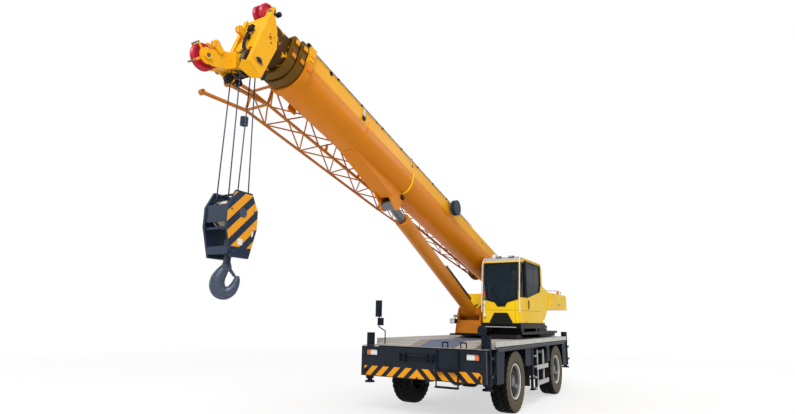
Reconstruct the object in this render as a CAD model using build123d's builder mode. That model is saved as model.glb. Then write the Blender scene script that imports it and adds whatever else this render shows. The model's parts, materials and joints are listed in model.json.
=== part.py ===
"""A two-axle rough-terrain mobile crane with a four-section telescopic boom, standing on its wheels.

Millimetres. +X is forward, +Y the crane's left, +Z up. The origin is on the ground under the slewing axis.
"""

from build123d import *
import math
import os

os.makedirs("parts", exist_ok=True)

# ---------------------------------------------------------------- driving dimensions

gap = 6  # running gap between parts that move past each other
seat_gap = 0.3  # between a moving part and what carries it

carrier_width = 2620
deck_top = 1285
deck_front = 3550
deck_rear = -2960
deck_plate = 8
bumper_front = 3590
bumper_bottom = 702

front_axle_x = 1850
rear_axle_x = -1494
tyre_radius = 610
tyre_width = 376
tyre_track_y = 1110  # middle of each tyre
kingpin_y = 880
rim_radius = 345

rail_outer_y = 440
rail_width = 60
rail_top = 1180
rail_bottom = 790

front_box_x = 3340  # middle of the front outrigger box
rear_box_x = -2750
box_half_y = 1090
box_wall = 14
beam_centre_z = 940
beam_depth_x = 150
beam_depth_z = 260
jack_y = 1205
jack_radius = 80
jack_top = 1525
jack_bottom = 640
jack_rod_radius = 50

slew_radius = 640
slew_ring_height = 80
race_width = 78
turntable_bottom = 1465
turntable_top = 1500
cheek_y = 335  # inner face of each turntable cheek
cheek_wall = 26
tail_radius = 3450
tail_half_y = 1235
tail_bottom = 2125
tail_top = 2545

boom_angle = 15.15
boom_foot = Vector(-1950, 0, 2575)
boom_width = 620
boom_wall = 8
slide_gap = 20  # between one boom section and the next
boom_front = 9852  # base section's front end, measured from the foot pin
collar_length = 120
collar_lip = 30
foot_pin_radius = 55

lift_foot = Vector(1008, 0, 1981)
lift_eye_u = 6800  # rod eye, along the boom from its foot pin
lift_eye_w = -560  # rod eye, below the boom's middle line
barrel_radius = 140
barrel_length = 3680
lift_rod_radius = 80
lift_rod_start = 476  # rod's inner end at rest, measured from the barrel's foot pin
lift_eye_radius = 115
lift_eye_half = 100
lift_pin_radius = 45

main_sheave_u = 10521
main_sheave_w = -470
main_sheave_radius = 160
nose_sheave_u = 11060
nose_sheave_w = -810
nose_sheave_radius = 160
top_sheave_u = 10500
top_sheave_w = 415
top_sheave_radius = 128
fall_y = 120  # the two loaded sheaves stand this far each side of the middle

block_top = 3210
block_bottom = 2440
hook_bottom = 1965

cab_inner_y = 368
cab_outer_y = 1205
cab_front_x = 1255
cab_rear_x = -690
cab_floor_z = 1755
cab_roof_z = 3225
cab_wall = 45
glass_inset = 12
glass_wall = 8
door_wall = 40
door_rear_x = -500
door_front_x = 812
door_bottom_z = 1790
door_top_z = 3160

# ---------------------------------------------------------------- frames of reference

tilt = math.radians(boom_angle)
boom_dir = Vector(math.cos(tilt), 0, math.sin(tilt))
boom_up = Vector(-math.sin(tilt), 0, math.cos(tilt))
LEFT = Vector(0, 1, 0)
BOTH_SIDES = (("left", 1), ("right", -1))


def side(y=0):
    """Upright plane along the crane: local x forward, local y up, its normal towards -Y."""
    return Plane(origin=(0, y, 0), x_dir=(1, 0, 0), z_dir=(0, -1, 0))


def boom_side(y=0):
    """Upright plane along the boom: local x from the foot pin to the head, local y across its depth."""
    return Plane(origin=boom_foot + LEFT * y, x_dir=boom_dir, z_dir=(0, -1, 0))


def boom_station(u):
    """Plane across the boom at u from the foot pin: local x to the left, local y across its depth."""
    return Plane(origin=boom_foot + boom_dir * u, x_dir=(0, 1, 0), z_dir=boom_dir)


def boom_point(u, y, w):
    return boom_foot + boom_dir * u + LEFT * y + boom_up * w


def across(start, end):
    """Plane at start whose normal points at end, for a bar from one to the other."""
    return Plane(origin=start, z_dir=end - start)


def save(part, name):
    part.label = name
    export_step(part, f"parts/{name}.step")


main_sheave_pin = boom_point(main_sheave_u, 0, main_sheave_w)
nose_sheave_pin = boom_point(nose_sheave_u, 0, nose_sheave_w)
lift_eye = boom_point(lift_eye_u, 0, lift_eye_w)
lift_dir = (lift_eye - lift_foot).normalized()
lift_length = (lift_eye - lift_foot).length

# ---------------------------------------------------------------- carrier frame and outrigger boxes

rail_y = rail_outer_y - rail_width / 2
pocket_x = beam_depth_x + 2 * gap
pocket_z = beam_depth_z + gap + seat_gap
pocket_middle_z = beam_centre_z + (gap - seat_gap) / 2  # each beam rests on its pocket's floor
beam_step = (pocket_x + box_wall) / 2  # each beam stands this far from its box's middle
box_x = 2 * pocket_x + 3 * box_wall
box_z = pocket_z + 2 * box_wall
drum_top = turntable_bottom - 110
bumper_wall = 12
rail_front = bumper_front - bumper_wall

tail_lamp_x = deck_rear - 56  # rear face of the lamp plates
tail_lamp_y = 900
tail_lamp_z = 1120
with BuildPart() as chassis_frame:
    for s in (1, -1):
        with Locations(((rail_front + deck_rear) / 2, s * rail_y, (rail_top + rail_bottom) / 2)):
            Box(rail_front - deck_rear, rail_width, rail_top - rail_bottom)
    for x in (2700, 1000, -750, -2300):
        with Locations((x, 0, rail_top - 90)):
            Box(90, 2 * rail_y, 160)
    # seat of the slewing ring: a drum standing on a plate over both rails
    with BuildSketch(Plane.XY.offset(rail_top - 15)):
        Rectangle(1500, 2 * slew_radius + 40)
    extrude(amount=25)
    with BuildSketch(Plane.XY.offset(rail_top)):
        Circle(slew_radius - 10)
        Circle(slew_radius - 50, mode=Mode.SUBTRACT)
    extrude(amount=drum_top - rail_top)
    # outrigger boxes with a pocket for each beam
    for x in (front_box_x, rear_box_x):
        with Locations((x, 0, beam_centre_z)):
            Box(box_x, 2 * box_half_y, box_z)
        with Locations((x - beam_step, 0, pocket_middle_z), (x + beam_step, 0, pocket_middle_z)):
            Box(pocket_x, 2 * box_half_y + 2, pocket_z, mode=Mode.SUBTRACT)
        with Locations((x, 0, (beam_centre_z + box_z / 2 + rail_top) / 2)):
            Box(box_x, 2 * rail_outer_y, rail_top - beam_centre_z - box_z / 2)
    # bearers that carry the deck out to its edges
    for x in (2960, 900, -560, -2250):
        with Locations((x, 0, (deck_top - deck_plate + rail_top) / 2)):
            Box(50, carrier_width - 30, deck_top - deck_plate - rail_top)
    # rear panel with a lamp plate at each side
    with Locations((deck_rear - 8, 0, beam_centre_z + 70)):
        Box(16, 2 * box_half_y - 40, box_z + 220)
    for s in (1, -1):
        with Locations((tail_lamp_x + 20, s * tail_lamp_y, tail_lamp_z)):
            Box(40, 330, 190)
save(chassis_frame.part, "chassis_frame")

# ---------------------------------------------------------------- deck, mudguards and side fittings

deck_flange = 60
post_cut = 2 * jack_radius + 30
with BuildPart() as deck:
    with BuildSketch(Plane.XY.offset(deck_top - deck_plate)):
        with Locations(((deck_front + deck_rear) / 2, 0)):
            Rectangle(deck_front - deck_rear, carrier_width)
        Circle(slew_radius + 10, mode=Mode.SUBTRACT)
        for x in (front_box_x, rear_box_x):
            for s in (1, -1):
                with Locations((x - s * beam_step, s * (jack_y + 20))):
                    Rectangle(post_cut, 2 * jack_radius + 70, mode=Mode.SUBTRACT)
    extrude(amount=deck_plate)
    for s in (1, -1):
        with Locations((270, s * (carrier_width / 2 - 4), deck_top - deck_flange / 2)):
            Box(5350, 8, deck_flange)
save(deck.part, "deck")

# x of each plate, which way its foot bends, its bottom
guard_table = (
    (2790, 1, 640),
    (960, -1, 830),
    (-700, 1, 830),
    (-2420, -1, 640),
)
guard_inner_y = 900
guard_outer_y = 1280
guard_half = (guard_outer_y - guard_inner_y) / 2
guard_plate = 10
guard_lip = 85  # how far the outer panel reaches towards the wheel
guard_top = deck_top - deck_plate - seat_gap
with BuildPart() as mudguards:
    for x, bend, bottom in guard_table:
        guard_knee = bottom + 330
        wheel_face = x - bend * guard_plate
        for s in (1, -1):
            with BuildSketch(side(s * (guard_inner_y + guard_half))):
                Polygon((x + bend * 120, bottom), (x + bend * 40, bottom + 160), (x, guard_knee), (x, guard_top),
                        (wheel_face, guard_top), (wheel_face, guard_knee), (x + bend * 30, bottom + 160),
                        (x + bend * 108, bottom), align=None)
            extrude(amount=guard_half, both=True)
            # outer panel, wider towards its top
            with BuildSketch(side(s * (guard_outer_y - guard_plate / 2))):
                Polygon((x + bend * 108, bottom), (x + bend * 30, bottom + 160), (wheel_face, guard_knee),
                        (wheel_face, guard_top), (x - bend * guard_lip, guard_top),
                        (x - bend * guard_lip, guard_knee + 30), (x - bend * 40, bottom + 170),
                        (x + bend * 50, bottom), align=None)
            extrude(amount=guard_plate / 2, both=True)
save(mudguards.part, "mudguards")

tank_top = 1150
with BuildPart() as side_tanks:
    # left: fuel tank and battery box behind the guard bars; right: hydraulic tank
    for s in (1, -1):
        with Locations((-90, s * 830, (tank_top + 560) / 2)):
            Box(680, 560, tank_top - 560)
        fillet(side_tanks.edges().filter_by(Axis.X).group_by(Axis.Z)[0], radius=60)
        with Locations((-90, s * (rail_outer_y + seat_gap + 56), tank_top - 60)):
            Box(600, 112, 60)
save(side_tanks.part, "side_tanks")

with BuildPart() as side_guards:
    for s in (1, -1):
        for z in (430, 770):
            with Locations((-180, s * 1275, z)):
                Box(990, 30, 95)
        for x in (-390, 130):
            with Locations((x, s * 1245, 765)):
                Box(50, 30, 770)
            with Locations((x, s * (1170 + seat_gap / 2), 1090)):
                Box(50, 120 - seat_gap, 50)
save(side_guards.part, "side_guards")

tow_eye_y = (230, -350)
tow_z = 1090
tow_hole_x = bumper_front + 48
tow_hole_radius = 26
lamp_y = 1065
lamp_half_y = 135
lamp_z = 1150
lamp_half_z = 60
with BuildPart() as front_bumper:
    with BuildSketch(Plane.YZ.offset(bumper_front - bumper_wall)):
        with Locations((0, (deck_top - 20 + bumper_bottom) / 2)):
            Rectangle(carrier_width, deck_top - 20 - bumper_bottom)
        for s in (1, -1):
            with Locations((s * lamp_y, lamp_z)):
                Rectangle(2 * lamp_half_y, 2 * lamp_half_z, mode=Mode.SUBTRACT)
    extrude(amount=bumper_wall)
    for z in (deck_top - 26, bumper_bottom + 6):
        with Locations((bumper_front - 35, 0, z)):
            Box(70, carrier_width, bumper_wall)
    for s in (1, -1):
        with Locations((bumper_front - 35, s * (carrier_width / 2 - 6), (deck_top - 20 + bumper_bottom) / 2)):
            Box(70, bumper_wall, deck_top - 20 - bumper_bottom)
        # lamp box and its brow
        with Locations((bumper_front - 38, s * lamp_y, lamp_z)):
            Box(52, 2 * lamp_half_y + 16, 2 * lamp_half_z + 16)
            Box(60, 2 * lamp_half_y, 2 * lamp_half_z, mode=Mode.SUBTRACT)
        with Locations((bumper_front - 60, s * lamp_y, lamp_z)):
            Box(8, 2 * lamp_half_y + 16, 2 * lamp_half_z + 16)
        with Locations((bumper_front + 15, s * lamp_y, lamp_z + lamp_half_z + 8)):
            Box(30, 2 * lamp_half_y + 20, 10)
    # tow eyes
    for eye_y in tow_eye_y:
        for dy in (-50, 50):
            with BuildSketch(side(eye_y + dy)):
                with Locations((bumper_front + 45, tow_z)):
                    RectangleRounded(90, 130, 20)
                with Locations((tow_hole_x, tow_z)):
                    Circle(tow_hole_radius, mode=Mode.SUBTRACT)
            extrude(amount=10, both=True)
        with Locations((bumper_front + 6, eye_y, tow_z)):
            Box(12, 130, 180)
    with Locations((bumper_front + 20, sum(tow_eye_y) / 2, tow_z + 40)):
        Box(24, tow_eye_y[0] - tow_eye_y[1] - 100, 36)
save(front_bumper.part, "front_bumper")

with BuildPart() as lamps:
    for s in (1, -1):
        with Locations((bumper_front - 36, s * (lamp_y - 40), lamp_z)):
            Box(40, 2 * lamp_half_y - 100, 2 * lamp_half_z - 14)
        with Locations((bumper_front - 36, s * (lamp_y + lamp_half_y - 42), lamp_z)):
            Box(40, 70, 2 * lamp_half_z - 14)
        # three round tail lamps on each rear panel
        for dy in (-105, 0, 105):
            with BuildSketch(Plane.YZ.offset(tail_lamp_x)):
                with Locations((s * tail_lamp_y + dy, tail_lamp_z)):
                    Circle(44)
            extrude(amount=-22)
save(lamps.part, "lamps")

step_heights = (330, 560, 790, 1020)
ladder_x = 520
step_y = 575
step_half_y = 215
handle_radius = 12
handle_x = deck_front - 60
handle_half = 55
handle_height = 115
with BuildPart() as access_ladders:
    # a ladder on each side between the wheels
    for s in (1, -1):
        for x in (ladder_x - 160, ladder_x + 160):
            with Locations((x, s * 1270, (step_heights[0] + deck_top - deck_flange) / 2)):
                Box(24, 60, deck_top - deck_flange - step_heights[0])
            with Locations((x, s * 1210, deck_top - deck_plate - 50)):
                Box(24, 60, 100)
        for z in step_heights:
            with Locations((ladder_x, s * 1255, z)):
                Box(296, 90, 30)
        with Locations((ladder_x, s * 1240, deck_top - deck_plate - 70)):
            Box(344, 60, 20)
    # front ladder on the left of the bumper
    for s in (1, -1):
        y = step_y + s * step_half_y
        with BuildSketch(Plane.XY.offset(600)):
            with Locations((bumper_front + 32, y)):
                Circle(13)
        extrude(amount=deck_top - 40 - 600)
        with Locations((bumper_front + 20, y, deck_top - 60), (bumper_front + 20, y, bumper_bottom + 60)):
            Box(40, 26, 26)
    for z in (610, 890):
        with Locations((bumper_front + 40, step_y, z)):
            Box(80, 2 * step_half_y + 20, 30)
    # hoop handles on the deck over the front ladder
    for y in (480, 850):
        for leg_y in (y - handle_half, y + handle_half):
            with BuildSketch(Plane.XY.offset(deck_top)):
                with Locations((handle_x, leg_y)):
                    Circle(handle_radius)
            extrude(amount=handle_height)
        with BuildSketch(Plane.XZ.offset(-y + handle_half)):
            with Locations((handle_x, deck_top + handle_height - handle_radius)):
                Circle(handle_radius)
        extrude(amount=-2 * handle_half)
save(access_ladders.part, "access_ladders")

mirror_x = 3425
mirror_y = -1005
with BuildPart() as front_mirrors:
    # long mirror and square mirror on the right, on a bent stalk
    with Locations((mirror_x, mirror_y - 30, 2000)):
        Box(40, 130, 330)
    with Locations((mirror_x, mirror_y + 20, 1742)):
        Box(40, 125, 150)
    with BuildLine():
        Polyline((mirror_x, -870, deck_top), (mirror_x, -870, 1560), (mirror_x + 26, mirror_y, 1640),
                 (mirror_x + 26, mirror_y, 2000))
    with BuildSketch(Plane.XY.offset(deck_top)):
        with Locations((mirror_x, -870)):
            Circle(11)
    sweep(transition=Transition.RIGHT)
    # round convex mirror on the left corner
    with BuildSketch(Plane.YZ.offset(3440)):
        with Locations((1195, 1620)):
            Circle(95)
    extrude(amount=45, taper=25)
    with BuildSketch(Plane.XY.offset(deck_top)):
        with Locations((3430, 1180)):
            Circle(12)
    extrude(amount=330)
save(front_mirrors.part, "front_mirrors")

with BuildPart() as engine_block:
    with Locations((120, 0, 935)):
        Box(1200, 2 * (rail_outer_y - rail_width - seat_gap), 420)
save(engine_block.part, "engine_block")

# ---------------------------------------------------------------- axles, steering and wheels

axle_z = tyre_radius
axle_radius = 105
diff_radius = 178
tube_half = kingpin_y - 130
kingpin_radius = 38
fork_half_z = 150
hub_half = 60  # the wheel's hub, each way from the middle of its tyre
hub_radius = 130
hub_face_y = tyre_track_y - hub_half
for name, axle_x in (("front_axle", front_axle_x), ("rear_axle", rear_axle_x)):
    with BuildPart() as axle:
        # tube with the bulge of its differential, turned about the axle's line
        with BuildSketch(Plane.XY.offset(axle_z)):
            with BuildLine():
                Polyline((axle_x, tube_half), (axle_x + axle_radius, tube_half), (axle_x + axle_radius, 190),
                         (axle_x + diff_radius - 30, 110), (axle_x + diff_radius, 50),
                         (axle_x + diff_radius, -50), (axle_x + diff_radius - 30, -110),
                         (axle_x + axle_radius, -190), (axle_x + axle_radius, -tube_half), (axle_x, -tube_half),
                         close=True)
            make_face()
        revolve(axis=Axis((axle_x, 0, axle_z), (0, 1, 0)))
        for s in (1, -1):
            # fork that holds the kingpin, and the pads that carry the rails
            with Locations((axle_x, s * (kingpin_y - 120), axle_z)):
                Box(150, 60, 2 * fork_half_z + 60)
            for dz in (-fork_half_z - 15, fork_half_z + 15):
                with Locations((axle_x, s * (kingpin_y - 55), axle_z + dz)):
                    Box(140, 190, 30)
            with Locations((axle_x, s * rail_y, (axle_z + rail_bottom) / 2 + 20)):
                Box(230, rail_width + 40, rail_bottom - axle_z - 40)
            with Locations((axle_x, s * kingpin_y, axle_z)):
                Cylinder(kingpin_radius, 2 * fork_half_z + 60)
    save(axle.part, name)

# corner, axle position, side
corners = (
    ("front_left", front_axle_x, 1),
    ("front_right", front_axle_x, -1),
    ("rear_left", rear_axle_x, 1),
    ("rear_right", rear_axle_x, -1),
)
knuckle_bore = kingpin_radius + 1
disc_outer = 24  # faces of the wheel's disc, outwards from the middle of its tyre
disc_inner = 4
hub_cap = 48
for corner, axle_x, s in corners:
    with BuildPart() as knuckle:
        with Locations((axle_x, s * kingpin_y, axle_z)):
            Cylinder(78, 2 * (fork_half_z - gap))
        with BuildSketch(Plane.XZ.offset(-s * kingpin_y)):
            with Locations((axle_x, axle_z)):
                Circle(120)
        extrude(amount=-s * (hub_face_y - 40 - kingpin_y))
        with BuildSketch(Plane.XZ.offset(-s * (hub_face_y - 40))):
            with Locations((axle_x, axle_z)):
                Circle(hub_radius)
        extrude(amount=-s * (40 - seat_gap))
        with Locations((axle_x, s * kingpin_y, axle_z)):
            Cylinder(knuckle_bore, 2 * fork_half_z, mode=Mode.SUBTRACT)
    save(knuckle.part, f"{corner}_knuckle")

    wheel_axis = Plane(origin=(axle_x, s * tyre_track_y, axle_z), x_dir=(1, 0, 0), z_dir=(0, -s, 0))
    half = tyre_width / 2
    rim_in = rim_radius - 45
    rim_seat = rim_in + 20
    tyre_profile = Plane(origin=(axle_x, s * tyre_track_y, axle_z), x_dir=(0, s, 0), z_dir=(1, 0, 0))
    with BuildPart() as tyre:
        with BuildSketch(tyre_profile):
            with BuildLine():
                Polyline((-half + 38, rim_radius), (-half + 38, rim_seat), (half - 38, rim_seat),
                         (half - 38, rim_radius), (half - 6, rim_radius + 75), (half, rim_radius + 140),
                         (half - 26, tyre_radius - 45), (half - 62, tyre_radius - 6), (0, tyre_radius),
                         (-half + 62, tyre_radius - 6), (-half + 26, tyre_radius - 45), (-half, rim_radius + 140),
                         (-half + 6, rim_radius + 75), (-half + 38, rim_radius))
            make_face()
        revolve(axis=Axis((axle_x, 0, axle_z), (0, 1, 0)))
    save(tyre.part, f"{corner}_tyre")

    with BuildPart() as rim:
        with BuildSketch(tyre_profile):
            # flanges, barrel, the flat disc set deep inside it, and the hub
            with BuildLine():
                Polyline((half - 37, rim_radius - 1), (half - 22, rim_radius - 1), (half - 22, rim_in),
                         (disc_outer, rim_in - 18), (disc_outer, 150), (hub_half, 150), (hub_half, 0),
                         (-hub_half, 0), (-hub_half, hub_radius), (disc_inner, 150), (disc_inner, rim_in - 18),
                         (-half + 22, rim_in), (-half + 22, rim_radius - 1), (-half + 37, rim_radius - 1),
                         (-half + 37, rim_seat), (half - 37, rim_seat), close=True)
            make_face()
        revolve(axis=Axis((axle_x, 0, axle_z), (0, 1, 0)))
        with BuildSketch(wheel_axis.offset(-disc_outer)):
            with PolarLocations(218, 8):
                Circle(30)
        extrude(amount=disc_outer - disc_inner, mode=Mode.SUBTRACT)
        with BuildSketch(wheel_axis.offset(-hub_half)):
            Circle(hub_radius - 12)
        extrude(amount=-hub_cap, taper=14)
    save(rim.part, f"{corner}_rim")

# ---------------------------------------------------------------- outriggers

beam_inner_y = box_half_y - 90
beam_tube = 14
for end, box_middle in (("front", front_box_x), ("rear", rear_box_x)):
    for name, s in BOTH_SIDES:
        x = box_middle - s * beam_step
        with BuildPart() as beam:
            with BuildSketch(Plane.XZ.offset(s * beam_inner_y)):
                with Locations((x, beam_centre_z)):
                    Rectangle(beam_depth_x, beam_depth_z)
                    Rectangle(beam_depth_x - 2 * beam_tube, beam_depth_z - 2 * beam_tube, mode=Mode.SUBTRACT)
            extrude(amount=-s * (beam_inner_y + jack_y - 60))
            with BuildSketch(Plane.XY.offset(jack_bottom)):
                with Locations((x, s * jack_y)):
                    Circle(jack_radius)
            extrude(amount=jack_top - jack_bottom)
            with BuildSketch(Plane.XY.offset(jack_bottom)):
                with Locations((x, s * jack_y)):
                    Circle(jack_rod_radius + 12)
            extrude(amount=jack_top - jack_bottom - 30, mode=Mode.SUBTRACT)
            with BuildSketch(Plane.XY.offset(jack_bottom)):
                with Locations((x, s * jack_y)):
                    Circle(jack_rod_radius + 13)
                    Circle(jack_rod_radius + 1, mode=Mode.SUBTRACT)
            extrude(amount=60)
        save(beam.part, f"{end}_{name}_outrigger_beam")

        foot_bottom = jack_bottom - 75
        with BuildPart() as jack:
            with BuildSketch(Plane.XY.offset(foot_bottom + 30)):
                with Locations((x, s * jack_y)):
                    Circle(jack_rod_radius)
            extrude(amount=jack_top - 80 - foot_bottom - 30)
            with BuildSketch(Plane.XY.offset(foot_bottom)):
                with Locations((x, s * jack_y)):
                    Circle(100)
            extrude(amount=34, taper=20)
        save(jack.part, f"{end}_{name}_jack")

# ---------------------------------------------------------------- slewing ring and turntable

ring_bottom = drum_top
with BuildPart() as slewing_ring:
    with BuildSketch(Plane.XY.offset(ring_bottom)):
        Circle(slew_radius)
        Circle(slew_radius - race_width, mode=Mode.SUBTRACT)
    extrude(amount=slew_ring_height)
save(slewing_ring.part, "slewing_ring")

cheek_middle = cheek_y + cheek_wall / 2
ear_y = 270
ear_wall = 40
wing_top = 1560
tail_rear_x = -3050
platform_bottom = 1640
with BuildPart() as turntable:
    # moving race inside the fixed one, and the base plate over both
    with BuildSketch(Plane.XY.offset(ring_bottom + 8)):
        Circle(slew_radius - race_width - seat_gap)
        Circle(slew_radius - 2 * race_width, mode=Mode.SUBTRACT)
    extrude(amount=turntable_bottom - ring_bottom - 8)
    with BuildSketch(Plane.XY.offset(turntable_bottom)):
        with Locations((-560, 0)):
            Rectangle(3780, 2 * (cheek_y + cheek_wall) + 120)
        Circle(slew_radius + 80)
    extrude(amount=turntable_top - turntable_bottom)
    # cheeks: low beside the lift cylinder, high at the boom's foot, and back to the tail
    for s in (1, -1):
        with BuildSketch(side(s * cheek_middle)):
            Polygon((760, turntable_bottom), (640, 1800), (-300, 2120), (-1720, 2690), (-2200, 2700),
                    (tail_rear_x, 2640), (tail_rear_x, 2090), (-2600, 1700), (-2450, turntable_bottom), align=None)
            with Locations((boom_foot.X, boom_foot.Z)):
                Circle(190)
                Circle(foot_pin_radius + 1, mode=Mode.SUBTRACT)
        extrude(amount=cheek_wall / 2, both=True)
        # ear of the lift cylinder, with the boss that its pin runs in
        with BuildSketch(side(s * ear_y)):
            Polygon((1250, turntable_bottom), (1205, 1700), (1100, 2060), (900, 2080), (480, 1760),
                    (-300, 1760), (-300, turntable_bottom), align=None)
            with Locations((lift_foot.X, lift_foot.Z)):
                Circle(130)
        extrude(amount=ear_wall / 2, both=True)
        with BuildSketch(side(s * (lift_eye_half + gap))):
            with Locations((lift_foot.X, lift_foot.Z)):
                Circle(105)
        extrude(amount=-s * (ear_y - ear_wall / 2 - lift_eye_half - gap))
        with BuildSketch(side(s * (lift_eye_half + gap))):
            with Locations((lift_foot.X, lift_foot.Z)):
                Circle(lift_pin_radius + 1)
        extrude(amount=-s * 300, mode=Mode.SUBTRACT)
    # sloping front plate between the ears
    with BuildSketch(side()):
        Polygon((1243, turntable_top), (1205, 1700), (1178, 1800), (1158, 1800), (1185, 1700),
                (1223, turntable_top), align=None)
    extrude(amount=ear_y - ear_wall / 2, both=True)
    # cross plates behind the boom's foot
    with Locations((-2520, 0, 1700)):
        Box(30, 2 * cheek_y, 400)
    with Locations((tail_rear_x + 20, 0, 2250)):
        Box(40, 2 * cheek_y, 310)
    # the cab's deck beside the turntable, and the black sill under the cab
    with Locations(((900 - 2300) / 2, (cheek_y + cheek_wall + 1150) / 2, (turntable_top + wing_top) / 2)):
        Box(3200, 1150 - cheek_y - cheek_wall, wing_top - turntable_top)
    for x in (720, -460):
        with Locations((x, 760, (wing_top + platform_bottom) / 2)):
            Box(220, 700, platform_bottom - wing_top)
    with BuildSketch(Plane.XY.offset(platform_bottom)):
        with Locations(((cab_front_x + 20 + cab_rear_x - 30) / 2, (cheek_y + cheek_wall + 2 + 1245) / 2)):
            Rectangle(cab_front_x + 20 - cab_rear_x + 30, 1245 - cheek_y - cheek_wall - 2)
    extrude(amount=cab_floor_z - platform_bottom)
save(turntable.part, "turntable")

# ---------------------------------------------------------------- counterweight, housings and winches

with BuildPart() as counterweight:
    with BuildSketch(Plane.XY.offset(tail_bottom)):
        with BuildLine():
            Polyline((-math.sqrt(tail_radius**2 - tail_half_y**2), tail_half_y), (tail_rear_x, tail_half_y),
                     (tail_rear_x, -tail_half_y), (-math.sqrt(tail_radius**2 - tail_half_y**2), -tail_half_y))
            ThreePointArc((-math.sqrt(tail_radius**2 - tail_half_y**2), -tail_half_y), (-tail_radius, 0),
                          (-math.sqrt(tail_radius**2 - tail_half_y**2), tail_half_y))
        make_face()
    extrude(amount=tail_top - tail_bottom)
    fillet(counterweight.edges().group_by(Axis.Z)[-1], radius=35)
save(counterweight.part, "counterweight")

cheek_outer_y = cheek_y + cheek_wall
hood_half_y = 397
hood_middle_y = 797
with BuildPart() as machine_housings:
    for s in (1, -1):
        with BuildSketch(side(s * (cheek_outer_y + seat_gap))):
            Polygon((-1250, 2125), (-1495, 2490), (-1495, 2545), (tail_rear_x, 2545), (tail_rear_x, 2125),
                    align=None)
        extrude(amount=-s * (tail_half_y - cheek_outer_y - seat_gap))
    # hood between the cab and the left housing
    with BuildSketch(side(hood_middle_y)):
        Polygon((-690, 1820), (-890, 1845), (-1230, 2115), (-1480, 2485), (-1460, 2530), (-760, 2680),
                (-740.3, 2672), (-690.3, 2300), (-690, 2290), align=None)
    extrude(amount=hood_half_y, both=True)
save(machine_housings.part, "machine_housings")

# x, z of the main drum and of the second
winch_table = ((-2480, 2130), (-2800, 2440))
flange_radius = 190
with BuildPart() as winches:
    for x, z in winch_table:
        with BuildSketch(side(cheek_y)):
            with Locations((x, z)):
                Circle(120)
        extrude(amount=2 * cheek_y)
        for y in (cheek_y - 60, -cheek_y + 84):
            with BuildSketch(side(y)):
                with Locations((x, z)):
                    Circle(flange_radius)
            extrude(amount=24)
save(winches.part, "winches")

# ---------------------------------------------------------------- cab

cab_profile = ((cab_front_x, cab_floor_z), (cab_front_x, 2305), (1150, 3105), (980, cab_roof_z),
               (-640, cab_roof_z - 10), (-715, 3105), (-740, 2680), (cab_rear_x, 2300),
               (cab_rear_x, cab_floor_z))
cab_middle_y = (cab_inner_y + cab_outer_y) / 2
cab_half_y = (cab_outer_y - cab_inner_y) / 2

# openings of the cab's windows, as prisms through its walls
with BuildPart() as window_prisms:
    with BuildSketch(Plane.YZ.offset(1050)):
        Polygon((418, 2305), (680, 2235), (735, 2145), (870, 2145), (925, 2235), (1155, 2300), (1155, 3085),
                (418, 3085), align=None)
    extrude(amount=250)
    with Locations((950, cab_outer_y - 20, 2712)):
        Box(200, 60, 756)
    with Locations((275, cab_inner_y + 20, 2715)):
        Box(1450, 60, 730)
    with Locations((-690, cab_middle_y, 2900)):
        Box(160, 700, 360)
    with Locations((575, cab_middle_y, cab_roof_z - 20)):
        Box(650, 600, 80)

with BuildPart() as cab_shell:
    with BuildSketch(side(cab_middle_y)):
        Polygon(*cab_profile, align=None)
    extrude(amount=cab_half_y, both=True)
    with BuildSketch(side(cab_middle_y)):
        Polygon(*cab_profile, align=None)
        offset(amount=-cab_wall, mode=Mode.REPLACE, kind=Kind.INTERSECTION)
    extrude(amount=cab_half_y - cab_wall, both=True, mode=Mode.SUBTRACT)
    with Locations((155, cab_outer_y - 20, 2475)):
        Box(1270, 60, 1350, mode=Mode.SUBTRACT)
    add(window_prisms.part, mode=Mode.SUBTRACT)
    # rail that the door slides on
    with Locations(((cab_rear_x + door_front_x) / 2, cab_outer_y + 23, door_bottom_z - seat_gap - 13)):
        Box(door_front_x - cab_rear_x, 46, 26)
save(cab_shell.part, "cab_shell")

with BuildPart() as cab_glass:
    with BuildSketch(side(cab_middle_y)):
        Polygon(*cab_profile, align=None)
        offset(amount=-glass_inset, mode=Mode.REPLACE, kind=Kind.INTERSECTION)
    extrude(amount=cab_half_y - glass_inset, both=True)
    with BuildSketch(side(cab_middle_y)):
        Polygon(*cab_profile, align=None)
        offset(amount=-glass_inset - glass_wall, mode=Mode.REPLACE, kind=Kind.INTERSECTION)
    extrude(amount=cab_half_y - glass_inset - glass_wall, both=True, mode=Mode.SUBTRACT)
    add(window_prisms.part, mode=Mode.INTERSECT)
save(cab_glass.part, "cab_glass")

door_window = ((760, 2345), (-290, 2525), (-390, 2680), (-390, 3120), (760, 3120))
door_inner_y = cab_outer_y + gap
with BuildPart() as cab_door:
    with BuildSketch(side(door_inner_y)):
        with Locations(((door_rear_x + door_front_x) / 2, (door_bottom_z + door_top_z) / 2)):
            RectangleRounded(door_front_x - door_rear_x, door_top_z - door_bottom_z, 40)
        Polygon(*door_window, align=None, mode=Mode.SUBTRACT)
    extrude(amount=-door_wall)
save(cab_door.part, "cab_door")

with BuildPart() as door_glass:
    with BuildSketch(side(door_inner_y + 16)):
        Polygon(*door_window, align=None)
    extrude(amount=-glass_wall)
save(door_glass.part, "door_glass")

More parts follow.
